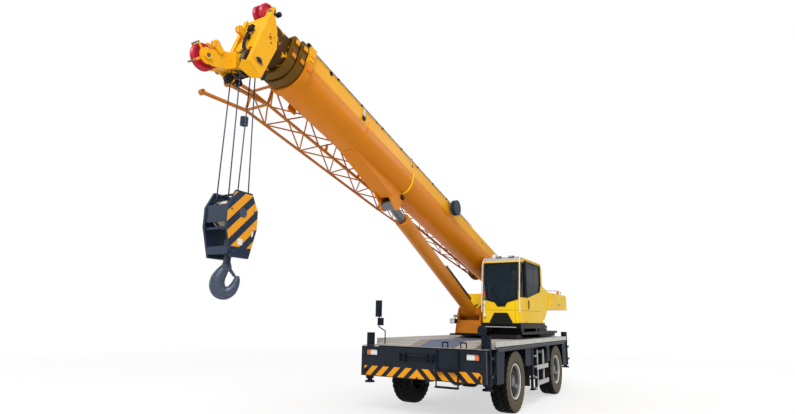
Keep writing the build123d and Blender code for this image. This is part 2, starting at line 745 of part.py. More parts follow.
seat_x = -120
seat_y = cab_middle_y
cab_inside_floor = cab_floor_z + cab_wall
with BuildPart() as operator_seat:
    with Locations((seat_x, seat_y, cab_inside_floor + 140)):
        Box(360, 340, 280)
    with Locations((seat_x, seat_y, cab_inside_floor + 340)):
        Box(480, 500, 120)
    with BuildSketch(side(seat_y)):
        Polygon((seat_x - 240, cab_inside_floor + 340), (seat_x - 130, cab_inside_floor + 400),
                (seat_x - 230, 2830), (seat_x - 330, 2840), align=None)
    extrude(amount=230, both=True)
    with Locations((seat_x - 290, seat_y, 2900)):
        Box(90, 260, 150)
    for s in (1, -1):
        with Locations((seat_x + 30, seat_y + s * 290, cab_inside_floor + 260)):
            Box(420, 80, 520)
        with BuildSketch(Plane.XY.offset(cab_inside_floor + 520)):
            with Locations((seat_x + 170, seat_y + s * 290)):
                Circle(22)
        extrude(amount=150)
save(operator_seat.part, "operator_seat")

with BuildPart() as control_console:
    with BuildSketch(side(seat_y)):
        Polygon((1150, cab_inside_floor), (1150, 2180), (1060, 2240), (960, 2200), (930, cab_inside_floor),
                align=None)
    extrude(amount=250, both=True)
    with Locations((1040, seat_y - 190, 2400)):
        Box(50, 220, 240)
    with Locations((1050, seat_y - 190, 2250)):
        Box(30, 40, 80)
    with BuildSketch(Plane(origin=(900, seat_y, 2240), x_dir=(0, 1, 0), z_dir=(-0.5, 0, 0.866))):
        Circle(190)
        Circle(165, mode=Mode.SUBTRACT)
        Rectangle(340, 26)
    extrude(amount=26)
    with BuildSketch(Plane(origin=(900, seat_y, 2240), x_dir=(0, 1, 0), z_dir=(-0.5, 0, 0.866))):
        Circle(26)
    extrude(amount=-170)
save(control_console.part, "control_console")

# ---------------------------------------------------------------- boom

section_2_width = boom_width - 2 * (boom_wall + slide_gap)
section_3_width = section_2_width - 2 * (boom_wall + slide_gap)
head_width = section_3_width - 2 * (boom_wall + slide_gap)
low_radius = 260  # bottom corners of the base section
boom_rear = -250
section_2_front = boom_front + slide_gap + collar_length
section_3_front = section_2_front + slide_gap + collar_length
head_front = 10440
pad = slide_gap - 0.5
doubler_start = 6740
doubler_length = 1500
doubler_wall = 10
doubler_top = 180
boss_height = 15


def tube_face(width, radius):
    """Outline of a boom tube in the open sketch: flat top, and bottom corners of a large radius."""
    Rectangle(width, width)
    sketch = BuildSketch._get_context()
    fillet(sketch.vertices().group_by(Axis.Y)[0], radius=radius)
    fillet(sketch.vertices().group_by(Axis.Y)[-1], radius=20)


with BuildPart() as boom_base:
    with BuildSketch(boom_station(boom_rear)):
        tube_face(boom_width, low_radius)
    extrude(amount=boom_front - boom_rear)
    with BuildSketch(boom_station(boom_front - collar_length)):
        tube_face(boom_width + 2 * collar_lip, low_radius + collar_lip)
    extrude(amount=collar_length)
    # doubler wrapped round the lower half where the lift cylinder pushes
    with BuildSketch(boom_station(doubler_start)):
        tube_face(boom_width + 2 * doubler_wall, low_radius + doubler_wall)
        with Locations((0, boom_width / 2 + doubler_top)):
            Rectangle(boom_width + 4 * doubler_wall, boom_width, mode=Mode.SUBTRACT)
    extrude(amount=doubler_length)
    # bosses of the slide pads' adjusting screws
    boss_middle = boom_width / 2 + collar_lip + boss_height / 2
    with Locations(boom_side().location):
        for y in (-150, 150):
            with Locations((boom_front - collar_length / 2, boss_middle, y)):
                Box(70, boss_height, 60)
        for s in (1, -1):
            for w in (120, -40):
                with Locations((boom_front - collar_length / 2, w, s * boss_middle)):
                    Box(70, 60, boss_height)
    # clevis and tapered belly for the lift cylinder
    with BuildSketch(boom_side()):
        Polygon((8300, -290), (8069, -356), (6990, -523), (6900, -290), align=None)
    extrude(amount=155, both=True)
    for s in (1, -1):
        with BuildSketch(boom_side(s * 127.5)):
            Polygon((7200, -290), (7200, -490), (6870, -650), (6700, -620), (6600, -290), align=None)
            with Locations((lift_eye_u, lift_eye_w)):
                Circle(125)
        extrude(amount=17.5, both=True)
    # bosses that the foot pin runs in
    with BuildSketch(boom_side()):
        Circle(110)
    extrude(amount=cheek_y - gap, both=True)
    with BuildSketch(boom_station(90)):
        tube_face(boom_width - 2 * boom_wall, low_radius - boom_wall)
    extrude(amount=boom_front, mode=Mode.SUBTRACT)
    with BuildSketch(boom_side()):
        Circle(foot_pin_radius + 1)
    extrude(amount=cheek_y, both=True, mode=Mode.SUBTRACT)
save(boom_base.part, "boom_base")

# name, width, bottom corner radius, rear end, front end
tube_table = (
    ("boom_section_2", section_2_width, low_radius - boom_wall - slide_gap, 600, section_2_front),
    ("boom_section_3", section_3_width, low_radius - 2 * (boom_wall + slide_gap), 750, section_3_front),
)
for name, width, radius, rear, front in tube_table:
    with BuildPart() as tube:
        with BuildSketch(boom_station(rear)):
            tube_face(width, radius)
        extrude(amount=front - rear)
        with BuildSketch(boom_station(front - collar_length)):
            tube_face(width + 2 * collar_lip, radius + collar_lip)
        extrude(amount=collar_length)
        boss_middle = width / 2 + collar_lip + boss_height / 2
        with Locations(boom_side().location):
            for y in (-130, 130):
                with Locations((front - collar_length / 2, boss_middle, y)):
                    Box(70, boss_height, 60)
            for s in (1, -1):
                with Locations((front - collar_length / 2, 60, s * boss_middle)):
                    Box(70, 60, boss_height)
        with BuildSketch(boom_station(rear)):
            tube_face(width - 2 * boom_wall, radius - boom_wall)
        extrude(amount=front - rear, mode=Mode.SUBTRACT)
        # slide pads round the rear end
        with BuildSketch(boom_station(rear)):
            for y in (-150, 150):
                with Locations((y, (width + pad) / 2)):
                    Rectangle(90, pad)
            with Locations((0, -(width + pad) / 2)):
                Rectangle(60, pad)
            for s in (1, -1):
                with Locations((s * (width + pad) / 2, 90)):
                    Rectangle(pad, 90)
        extrude(amount=200)
    save(tube.part, name)

head_plate = 22
head_front_edge = ((10575, 303), (10645, -576))
head_rear_edge = ((10408, -658), (10375, -427), (10321, -109), (10402, 132), (10496, 275))
fold_angle = math.radians(30)  # the plates turn in below the line from one edge to the other
(fold_u, fold_w), fold_end = head_rear_edge[0], head_front_edge[1]
fold_length = math.dist((fold_u, fold_w), fold_end)
fold_slope = math.atan2(fold_end[1] - fold_w, fold_end[0] - fold_u)
arm_outline = ((10440, -150), (10600, -240), (10640, -420), (10783, -535), (10920, -608), (11063, -715),
               (11065, -905), (10956, -872), (10812, -796), (10713, -714), (10560, -610), (10440, -520))
main_arm_y = 74
nose_web = 20
yoke_y = 100
yoke_wall = 14
shaft_bore = 41
lug_bore = 25
lug_radius = 50
lug_half_gap = 22  # each lug is two plates this far from its middle
lug_plate = 14
# eye, root and y of each lug
lug_table = (
    ((10690, 0), (10562, -10), -100),
    ((11015, -600), (10940, -640), main_arm_y),
    ((11015, -600), (10940, -640), -main_arm_y),
)


def head_fold(s):
    """Plane of the head's lower panel on one side: local x along its fold, local y down and inwards."""
    along = boom_dir * math.cos(fold_slope) + boom_up * math.sin(fold_slope)
    down = boom_dir * math.sin(fold_slope) - boom_up * math.cos(fold_slope)
    inwards = down * math.cos(fold_angle) - LEFT * s * math.sin(fold_angle)
    corner = boom_point(fold_u, s * (head_width + head_plate) / 2, fold_w)
    return Plane(origin=corner, x_dir=along, z_dir=along.cross(inwards))


with BuildPart() as boom_head:
    with BuildSketch(boom_station(900)):
        tube_face(head_width, low_radius - 3 * (boom_wall + slide_gap))
    extrude(amount=head_front - 900)
    with BuildSketch(boom_station(900)):
        tube_face(head_width - 2 * boom_wall, low_radius - 3 * (boom_wall + slide_gap) - boom_wall)
    extrude(amount=head_front - 900, mode=Mode.SUBTRACT)
    with BuildSketch(boom_station(900)):
        for y in (-120, 120):
            with Locations((y, (head_width + pad) / 2)):
                Rectangle(80, pad)
        with Locations((0, -(head_width + pad) / 2)):
            Rectangle(60, pad)
        for s in (1, -1):
            with Locations((s * (head_width + pad) / 2, 80)):
                Rectangle(pad, 80)
    extrude(amount=200)
    for s in (1, -1):
        # side plate, its lower panel and the flange on its front edge
        with BuildSketch(boom_side(s * (head_width + head_plate) / 2)):
            Polygon(*head_front_edge, *head_rear_edge, align=None)
            with Locations((main_sheave_u, main_sheave_w)):
                Circle(shaft_bore, mode=Mode.SUBTRACT)
            with Locations((10462, -47)):
                Circle(28, mode=Mode.SUBTRACT)
            with Locations((10430, -105)):
                Circle(18, mode=Mode.SUBTRACT)
        extrude(amount=head_plate / 2, both=True)
        with BuildSketch(head_fold(s)):
            Polygon((0, 0), (fold_length, 0), (fold_length + 60, 60), (fold_length, 150), (70, 95), align=None)
        extrude(amount=head_plate / 2, both=True)
        (top_u, top_w), (low_u, low_w) = head_front_edge
        with BuildSketch(boom_side(s * (head_width / 2 + head_plate))):
            Polygon((top_u, top_w), (low_u, low_w), (low_u - 12, low_w), (top_u - 12, top_w), align=None)
        extrude(amount=s * 70)
        with BuildSketch(boom_side(s * main_arm_y)):
            Polygon(*arm_outline, align=None)
            with Locations((nose_sheave_u, nose_sheave_w)):
                Circle(97)
            with Locations((main_sheave_u, main_sheave_w)):
                Circle(shaft_bore, mode=Mode.SUBTRACT)
        extrude(amount=nose_web / 2, both=True)
        # boss of the nose sheave's pin
        with BuildSketch(boom_side(s * main_arm_y)):
            with Locations((nose_sheave_u, nose_sheave_w)):
                Circle(52)
        extrude(amount=-s * 26)
        # yoke of the two top sheaves
        with BuildSketch(boom_side(s * yoke_y)):
            Polygon((10370, 215), (10420, 540), (10470, 555), (10530, 440), (10545, 280), (10440, 215), align=None)
        extrude(amount=yoke_wall / 2, both=True)
    # front web between the side plates, and the end plate of the tube
    with BuildSketch(boom_side()):
        Polygon((10550, 290), (10597, -268), (10585, -268), (10538, 290), align=None)
        with Locations((head_front + 7, 0)):
            Rectangle(14, head_width)
    extrude(amount=head_width / 2, both=True)
    # cross plate at the root of the nose, and the floor between its arms
    with BuildSketch(boom_side()):
        Polygon((10783, -535), (10713, -714), (10725, -719), (10795, -540), align=None)
    extrude(amount=150, both=True)
    with BuildSketch(boom_side()):
        Polygon((10722, -704), (10884, -818), (10876, -828), (10714, -716), align=None)
    extrude(amount=main_arm_y, both=True)
    # double lugs for the jib's pins
    for (eye_u, eye_w), (root_u, root_w), y in lug_table:
        with BuildSketch(boom_side(y)):
            with Locations((root_u, root_w)):
                Rectangle(60, 80, rotation=math.degrees(math.atan2(eye_w - root_w, eye_u - root_u)))
        extrude(amount=lug_half_gap + lug_plate / 2, both=True)
        for plate_y in (y - lug_half_gap, y + lug_half_gap):
            with BuildSketch(boom_side(plate_y)):
                with Locations((eye_u, eye_w)):
                    Circle(lug_radius)
                with Locations(((eye_u + root_u) / 2, (eye_w + root_w) / 2)):
                    Rectangle(math.dist((eye_u, eye_w), (root_u, root_w)), 2 * lug_radius - 10,
                              rotation=math.degrees(math.atan2(eye_w - root_w, eye_u - root_u)))
                with Locations((eye_u, eye_w)):
                    Circle(lug_bore, mode=Mode.SUBTRACT)
            extrude(amount=lug_plate / 2, both=True)
save(boom_head.part, "boom_head")

sheave_half = 26
with BuildPart() as head_sheaves:
    for y in (-fall_y, 0, fall_y):
        with BuildSketch(boom_side(y)):
            with Locations((main_sheave_u, main_sheave_w)):
                Circle(main_sheave_radius)
                Circle(shaft_bore, mode=Mode.SUBTRACT)
        extrude(amount=sheave_half, both=True)
    for y in (-60, 60):
        with BuildSketch(boom_side(y)):
            with Locations((top_sheave_u, top_sheave_w)):
                Circle(top_sheave_radius)
        extrude(amount=sheave_half, both=True)
    with BuildSketch(boom_side()):
        with Locations((top_sheave_u, top_sheave_w)):
            Circle(30)
    extrude(amount=yoke_y - yoke_wall / 2, both=True)
    with BuildSketch(boom_side()):
        with Locations((nose_sheave_u, nose_sheave_w)):
            Circle(nose_sheave_radius)
    extrude(amount=sheave_half, both=True)
    with BuildSketch(boom_side()):
        with Locations((nose_sheave_u, nose_sheave_w)):
            Circle(30)
    extrude(amount=main_arm_y - nose_web / 2, both=True)
save(head_sheaves.part, "head_sheaves")

with BuildPart() as cable_reel:
    with BuildSketch(boom_side(boom_width / 2 + 60)):
        with Locations((4990, 210)):
            Circle(160)
    extrude(amount=-90)
    with BuildSketch(boom_side(boom_width / 2)):
        with Locations((4990, 210)):
            Circle(60)
    extrude(amount=-70)
    with Locations(boom_side().location):
        with Locations((4840, 200, -boom_width / 2 - 8)):
            Box(90, 130, 16)
save(cable_reel.part, "cable_reel")

# ---------------------------------------------------------------- pins and lift cylinder

with BuildPart() as boom_foot_pin:
    with BuildSketch(side()):
        with Locations((boom_foot.X, boom_foot.Z)):
            Circle(foot_pin_radius)
    extrude(amount=cheek_outer_y, both=True)
save(boom_foot_pin.part, "boom_foot_pin")

with BuildPart() as lift_foot_pin:
    with BuildSketch(side()):
        with Locations((lift_foot.X, lift_foot.Z)):
            Circle(lift_pin_radius)
    extrude(amount=ear_y + ear_wall / 2 + 10, both=True)
save(lift_foot_pin.part, "lift_foot_pin")

eye_half = lift_eye_half - 5


def lift_side(y=0):
    """Upright plane along the lift cylinder: local x from its foot pin to its rod's eye."""
    return Plane(origin=lift_foot + LEFT * y, x_dir=lift_dir, z_dir=(0, -1, 0))


def lift_station(d):
    """Plane across the lift cylinder at d from its foot pin."""
    return Plane(origin=lift_foot + lift_dir * d, x_dir=(0, 1, 0), z_dir=lift_dir)


barrel_start = 118
bore_radius = 120
sleeve_radius = 114
with BuildPart() as lift_barrel:
    with BuildSketch(lift_side()):
        Circle(120)
        with Locations((70, 0)):
            Rectangle(100, 180)
    extrude(amount=eye_half, both=True)
    with BuildSketch(lift_station(barrel_start)):
        Circle(barrel_radius)
    extrude(amount=barrel_length - barrel_start)
    with BuildSketch(lift_station(barrel_start + 6)):
        Circle(bore_radius)
    extrude(amount=barrel_length - barrel_start - 66, mode=Mode.SUBTRACT)
    with BuildSketch(lift_station(barrel_length - 60)):
        Circle(lift_rod_radius + 1)
    extrude(amount=60, mode=Mode.SUBTRACT)
    with BuildSketch(lift_side()):
        Circle(lift_pin_radius + 1)
    extrude(amount=eye_half, both=True, mode=Mode.SUBTRACT)
save(lift_barrel.part, "lift_barrel")

with BuildPart() as lift_sleeve:
    with BuildSketch(lift_station(lift_rod_start)):
        Circle(bore_radius - 0.5)
        Circle(lift_rod_radius + 0.5, mode=Mode.SUBTRACT)
    extrude(amount=160)
save(lift_sleeve.part, "lift_sleeve")

with BuildPart() as lift_rod:
    with BuildSketch(lift_station(lift_rod_start)):
        Circle(lift_rod_radius)
    extrude(amount=lift_length - lift_rod_start - 60)
    with BuildSketch(lift_side()):
        with Locations((lift_length, 0)):
            Circle(lift_eye_radius)
    extrude(amount=lift_eye_half, both=True)
    with BuildSketch(lift_side()):
        with Locations((lift_length, 0)):
            Circle(lift_pin_radius)
    extrude(amount=lift_eye_half + 5, both=True)
save(lift_rod.part, "lift_rod")

# ---------------------------------------------------------------- jib, stowed on the boom's right

# u, y, half width, bottom w, top w of each end of the jib's two lattices
jib_root = (9700, -605, 220, -385, -40)
jib_joint = (6100, -560, 175, -257, 40)
jib_tip = (1900, -430, 60, -110, 0)
jib_spans = ((jib_root, jib_joint, 9, 44, 26), (jib_joint, jib_tip, 8, 34, 20))


def jib_corner(start, end, part, left, top):
    """Corner of the lattice at part (0 to 1) of the way from start to end."""
    u, y, half, low, high = (a + (b - a) * part for a, b in zip(start, end))
    return boom_point(u, y + left * half, high if top else low)


# start, end and width of each square bar of the jib
jib_bars = []
for start, end, bays, chord, lace in jib_spans:
    for left in (1, -1):
        for top in (True, False):
            jib_bars.append((jib_corner(start, end, 0, left, top), jib_corner(start, end, 1, left, top), chord))
    for bay in range(bays):
        near = bay / bays
        far = (bay + 1) / bays
        if bay % 2:
            near, far = far, near
        for left in (1, -1):
            foot = jib_corner(start, end, far, left, False)
            jib_bars.append((jib_corner(start, end, near, left, True), foot, lace))
        for top in (True, False):
            jib_bars.append((jib_corner(start, end, near, 1, top), jib_corner(start, end, far, -1, top), lace))
for frame in (jib_root, jib_joint, jib_tip):
    for left in (1, -1):
        jib_bars.append((jib_corner(frame, frame, 0, left, True), jib_corner(frame, frame, 0, left, False), 44))
    for top in (True, False):
        jib_bars.append((jib_corner(frame, frame, 0, 1, top), jib_corner(frame, frame, 0, -1, top), 44))
# left or right, top or bottom, and u, y, w of each eye of the root's fork
jib_eyes = (
    (1, False, (10380, -420, -540)),
    (-1, False, (10330, -1000, -490)),
    (1, True, (10250, -430, -60)),
    (-1, True, (10240, -960, -60)),
)
for left, top, eye in jib_eyes:
    jib_bars.append((jib_corner(jib_root, jib_root, 0, left, top), boom_point(*eye), 55))

with BuildPart() as jib:
    for start, end, width in jib_bars:
        with BuildSketch(across(start, end)):
            Rectangle(width, width)
        extrude(amount=(end - start).length)
    for left, top, eye in jib_eyes:
        with BuildSketch(boom_side(eye[1])):
            with Locations((eye[0], eye[2])):
                Circle(60)
        extrude(amount=28, both=True)
    # brackets that hang it on the boom
    for u, w in ((9300, -35), (6150, 30)):
        with Locations(boom_side().location):
            with Locations((u, w, (boom_width / 2 + 400) / 2)):
                Box(90, 50, 400 - boom_width / 2)
save(jib.part, "jib")

# ---------------------------------------------------------------- falls, hook block and hook

hook_x = main_sheave_pin.X
with BuildPart() as main_sheave_shaft:
    with BuildSketch(boom_side()):
        with Locations((main_sheave_u, main_sheave_w)):
            Circle(40)
    extrude(amount=head_width / 2 + head_plate + 15, both=True)
save(main_sheave_shaft.part, "main_sheave_shaft")

weight_z = 4150
with BuildPart() as overwind_weight:
    with BuildSketch(Plane.XY.offset(weight_z)):
        with Locations((hook_x - 180, -fall_y)):
            Circle(50)
            Circle(20, mode=Mode.SUBTRACT)
    extrude(amount=110)
save(overwind_weight.part, "overwind_weight")

block_half_x = 225
block_half_y = 200
block_plate = 24
block_sheave_z = 2960
block_sheave_y = 100
block_sheave_radius = 165
with BuildPart() as hook_block:
    for s in (1, -1):
        with BuildSketch(side(s * (block_half_y - block_plate / 2))):
            Polygon((hook_x - 120, block_top), (hook_x + 120, block_top), (hook_x + block_half_x, block_top - 200),
                    (hook_x + block_half_x, block_top - 420), (hook_x + 130, block_bottom),
                    (hook_x - 130, block_bottom), (hook_x - block_half_x, block_top - 420),
                    (hook_x - block_half_x, block_top - 200), align=None)
        extrude(amount=block_plate / 2, both=True)
    for y in (-block_sheave_y, block_sheave_y):
        with BuildSketch(side(y)):
            with Locations((hook_x, block_sheave_z)):
                Circle(block_sheave_radius)
        extrude(amount=sheave_half, both=True)
    with BuildSketch(side()):
        with Locations((hook_x, block_sheave_z)):
            Circle(40)
    extrude(amount=block_half_y, both=True)
    with Locations((hook_x, 0, block_bottom + 100)):
        Box(160, 2 * block_half_y - 2 * block_plate, 90)
    for x in (-170, 170):
        with Locations((hook_x + x, 0, block_top - 330)):
            Box(30, 2 * block_half_y - 2 * block_plate, 40)
    with BuildSketch(Plane.XY.offset(block_bottom)):
        with Locations((hook_x, 0)):
            Circle(43)
    extrude(amount=160, mode=Mode.SUBTRACT)
save(hook_block.part, "hook_block")

hook_turn = math.radians(45)
hook_plane = Plane(origin=(hook_x, 0, 0), x_dir=(-math.sin(hook_turn), math.cos(hook_turn), 0),
                   z_dir=(math.cos(hook_turn), math.sin(hook_turn), 0))
hook_centre_z = hook_bottom + 175
with BuildPart() as hook:
    with BuildSketch(hook_plane):
        with Locations((0, hook_centre_z)):
            Circle(175)
        with Locations((15, hook_centre_z + 25)):
            Circle(70, mode=Mode.SUBTRACT)
        with Locations((105, hook_centre_z + 110)):
            Rectangle(130, 110, rotation=-20, mode=Mode.SUBTRACT)
        with Locations((0, (hook_centre_z + 80 + block_bottom + 30) / 2)):
            Rectangle(80, block_bottom + 30 - hook_centre_z - 80)
        with Locations((15, hook_centre_z + 25)):
            Circle(70, mode=Mode.SUBTRACT)
    extrude(amount=40, both=True)
    with BuildSketch(Plane.XY.offset(block_bottom)):
        with Locations((hook_x, 0)):
            Circle(40)
    extrude(amount=150)
    with BuildSketch(Plane.XY.offset(block_bottom + 145 + seat_gap)):
        with Locations((hook_x, 0)):
            Circle(62)
    extrude(amount=60)
save(hook.part, "hook")
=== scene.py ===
"""Looks of a two-axle mobile crane: paint, rubber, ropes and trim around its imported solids."""

import json
import math

import bmesh
import bpy
import numpy as np
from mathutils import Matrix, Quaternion, Vector


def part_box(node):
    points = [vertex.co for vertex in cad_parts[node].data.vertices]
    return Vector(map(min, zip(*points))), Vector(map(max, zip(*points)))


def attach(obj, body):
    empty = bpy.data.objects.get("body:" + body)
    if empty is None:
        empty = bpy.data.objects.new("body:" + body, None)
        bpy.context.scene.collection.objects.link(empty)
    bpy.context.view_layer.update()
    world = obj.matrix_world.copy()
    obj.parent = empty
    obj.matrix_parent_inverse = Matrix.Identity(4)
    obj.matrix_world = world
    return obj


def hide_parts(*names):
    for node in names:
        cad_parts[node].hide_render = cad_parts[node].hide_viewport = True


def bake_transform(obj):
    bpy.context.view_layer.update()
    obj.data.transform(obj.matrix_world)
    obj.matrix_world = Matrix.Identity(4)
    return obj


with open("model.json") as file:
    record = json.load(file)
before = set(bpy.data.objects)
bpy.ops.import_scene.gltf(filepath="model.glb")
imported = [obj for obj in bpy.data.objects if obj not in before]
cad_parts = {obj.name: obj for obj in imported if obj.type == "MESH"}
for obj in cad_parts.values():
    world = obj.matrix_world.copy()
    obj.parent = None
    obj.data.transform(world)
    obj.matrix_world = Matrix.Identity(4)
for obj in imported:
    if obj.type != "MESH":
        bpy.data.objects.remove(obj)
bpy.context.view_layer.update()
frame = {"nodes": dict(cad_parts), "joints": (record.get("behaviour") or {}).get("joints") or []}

bl_info = {
    "name": "Mobile Crane Dresser",
    "version": (1, 0, 0),
    "blender": (4, 5, 0),
    "location": "3D View > Sidebar > Crane",
    "description": "Paints a mobile crane's solids and adds its tyres, ropes, trim and studio",
    "category": "Object",
}

MM = 0.001
NODES = frame["nodes"]
SIDES = (("left", 1), ("right", -1))
CORNERS = tuple((f"{end}_{name}", s) for end in ("front", "rear") for name, s in SIDES)

# ------------------------------------------------------------ measures taken from the frame

def joint(name):
    """The frame's joint of that name."""
    return next(j for j in frame["joints"] if j["name"] == name)


FOOT = np.array(joint("boom_luff")["pos_m"], float)
ALONG = np.array(joint("telescope_2")["axis"], float)
X, LEFT, Z = np.eye(3)
UP = np.cross(ALONG, LEFT)
MAIN_PIN = np.array(joint("falls_luff")["pos_m"], float)
LIFT_FOOT = np.array(joint("lift_barrel_turn")["pos_m"], float)
LIFT_ALONG = np.array(joint("lift_rod_slide")["axis"], float)


def boom_at(u, y, w):
    """Point u along the boom from its foot pin, y to its left and w above its middle, all in millimetres."""
    return FOOT + MM * (u * ALONG + y * LEFT + w * UP)


# ------------------------------------------------------------ meshes


def new_object(name, points, faces, material, smooth=True):
    """Mesh object of those points and faces, at the origin, its faces turned outwards."""
    mesh = bpy.data.meshes.new(name)
    mesh.from_pydata(np.asarray(points, float).tolist(), [], np.asarray(faces).tolist() if
                     isinstance(faces, np.ndarray) else faces)
    shell = bmesh.new()
    shell.from_mesh(mesh)
    bmesh.ops.remove_doubles(shell, verts=shell.verts, dist=1e-6)
    bmesh.ops.recalc_face_normals(shell, faces=shell.faces)
    shell.to_mesh(mesh)
    shell.free()
    if smooth:
        mesh.shade_smooth()
    obj = bpy.data.objects.new(name, mesh)
    bpy.context.scene.collection.objects.link(obj)
    mesh.materials.append(material)
    return obj


def piece(name, parts, finish, body, bevel=0.0, sharp=32):
    """One object from several (points, faces) shells: finished, riding on a body, with its edges broken by bevel."""
    points, faces = join_parts(parts)
    obj = new_object(name, points, faces, MATERIALS[finish])
    obj.data.set_sharp_from_angle(angle=math.radians(sharp))
    if bevel:
        edge = obj.modifiers.new("broken_edge", "BEVEL")
        edge.width = bevel
        edge.segments = 2
        edge.limit_method = "ANGLE"
        edge.angle_limit = math.radians(40)
    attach(obj, body)
    return obj


def grid_faces(rows, columns, close_rows=False, close_columns=False):
    """Quads of a rows by columns grid of points; a closed direction joins its last line to its first."""
    r = np.arange(rows if close_rows else rows - 1)
    c = np.arange(columns if close_columns else columns - 1)
    r, c = (a.ravel() for a in np.meshgrid(r, c, indexing="ij"))
    r2, c2 = (r + 1) % rows, (c + 1) % columns
    return np.stack([r * columns + c, r * columns + c2, r2 * columns + c2, r2 * columns + c], axis=1)


def join_parts(parts):
    """One list of points and one of faces from several (points, faces) pairs."""
    points, faces, start = [], [], 0
    for p, f in parts:
        points.append(np.asarray(p, float).reshape(-1, 3))
        faces.extend([[i + start for i in face] for face in (f.tolist() if isinstance(f, np.ndarray) else f)])
        start += len(points[-1])
    return np.concatenate(points), faces


def tube(start, end, radius, sides=16, end_radius=None):
    """Round bar from start to end: point = start + (end - start) t + radius (cos a, sin a) across it."""
    start, end = np.asarray(start, float), np.asarray(end, float)
    run = (end - start) / np.linalg.norm(end - start)
    across = np.cross(run, [0, 0, 1] if abs(run[2]) < 0.9 else [1, 0, 0])
    across /= np.linalg.norm(across)
    other = np.cross(run, across)
    a = np.linspace(0, 2 * np.pi, sides, endpoint=False)
    ring = np.cos(a)[:, None] * across + np.sin(a)[:, None] * other
    last = radius if end_radius is None else end_radius
    points = np.concatenate([start + radius * ring, end + last * ring])
    faces = grid_faces(2, sides, close_columns=True).tolist()
    faces = [f[::-1] for f in faces]
    faces.append(list(range(sides)))
    faces.append(list(range(2 * sides - 1, sides - 1, -1)))
    return points, faces


def lathe(profile, centre, axis, across, segments=64, closed=False):
    """Profile of (distance along axis, radius) turned round axis: point = centre + d axis + r (cos a, sin a).

    A closed profile joins its last point to its first, as a ring has it.
    """
    profile = np.asarray(profile, float)
    axis, across = np.asarray(axis, float), np.asarray(across, float)
    other = np.cross(axis, across)
    a = np.linspace(0, 2 * np.pi, segments, endpoint=False)
    ring = np.cos(a)[:, None] * across + np.sin(a)[:, None] * other
    points = (np.asarray(centre, float) + profile[:, 0, None, None] * axis
              + profile[:, 1, None, None] * ring[None])
    return points.reshape(-1, 3), grid_faces(len(profile), segments, close_rows=closed, close_columns=True)


def box(low, high):
    """Eight corners and six faces of an upright box between two opposite corners."""
    (x0, y0, z0), (x1, y1, z1) = np.minimum(low, high), np.maximum(low, high)
    points = [(x, y, z) for x in (x0, x1) for y in (y0, y1) for z in (z0, z1)]
    faces = [[0, 1, 3, 2], [4, 6, 7, 5], [0, 4, 5, 1], [2, 3, 7, 6], [0, 2, 6, 4], [1, 5, 7, 3]]
    return np.array(points, float), faces


# axes (across, up, out) of flat plates: seen from the side, from the front, from above, and on the boom
SIDE = (np.zeros(3), np.array([X, Z, LEFT]))
FRONT = (np.zeros(3), np.array([LEFT, Z, X]))
PLAN = (np.zeros(3), np.array([X, LEFT, Z]))
BOOM = (FOOT, MM * np.array([ALONG, UP, LEFT]))
BOOM_SIDE = 310  # y of the base section's side plate, in millimetres


def rect(a0, b0, a1, b1):
    """Corners of a flat rectangle, round from (a0, b0)."""
    return [(a0, b0), (a1, b0), (a1, b1), (a0, b1)]


def prism(outline, plane, low, high):
    """Flat plate: point = origin + a across + b up + d out, for each (a, b) of its outline and d of low and high."""
    origin, axes = plane
    outline = np.asarray(outline, float)
    n = len(outline)
    rings = [origin + np.column_stack([outline, np.full(n, d)]) @ axes for d in sorted((low, high))]
    faces = grid_faces(2, n, close_columns=True).tolist()
    return np.concatenate(rings), faces + [list(range(n)), list(range(2 * n - 1, n - 1, -1))]


def frame_plate(outer, inner, plane, low, high):
    """Plate with a window: four loops, outer low, outer high, inner high and inner low, joined in a ring."""
    origin, axes = plane
    low, high = sorted((low, high))
    n = len(outer)
    loops = [np.column_stack([np.asarray(o, float), np.full(n, d)])
             for o, d in ((outer, low), (outer, high), (inner, high), (inner, low))]
    points = np.concatenate([origin + loop @ axes for loop in loops])
    return points, grid_faces(4, n, close_rows=True, close_columns=True)


def rounded(outline, radius, steps=5):
    """Outline with its corners rounded: corner = (1-t)^2 before + 2 t (1-t) corner + t^2 after."""
    c = np.asarray(outline, float)
    before, after = np.roll(c, 1, axis=0) - c, np.roll(c, -1, axis=0) - c
    before *= radius / np.linalg.norm(before, axis=1, keepdims=True)
    after *= radius / np.linalg.norm(after, axis=1, keepdims=True)
    t = np.linspace(0, 1, steps)[None, :, None]
    curve = (1 - t) ** 2 * (c + before)[:, None] + 2 * t * (1 - t) * c[:, None] + t ** 2 * (c + after)[:, None]
    return curve.reshape(-1, 2)


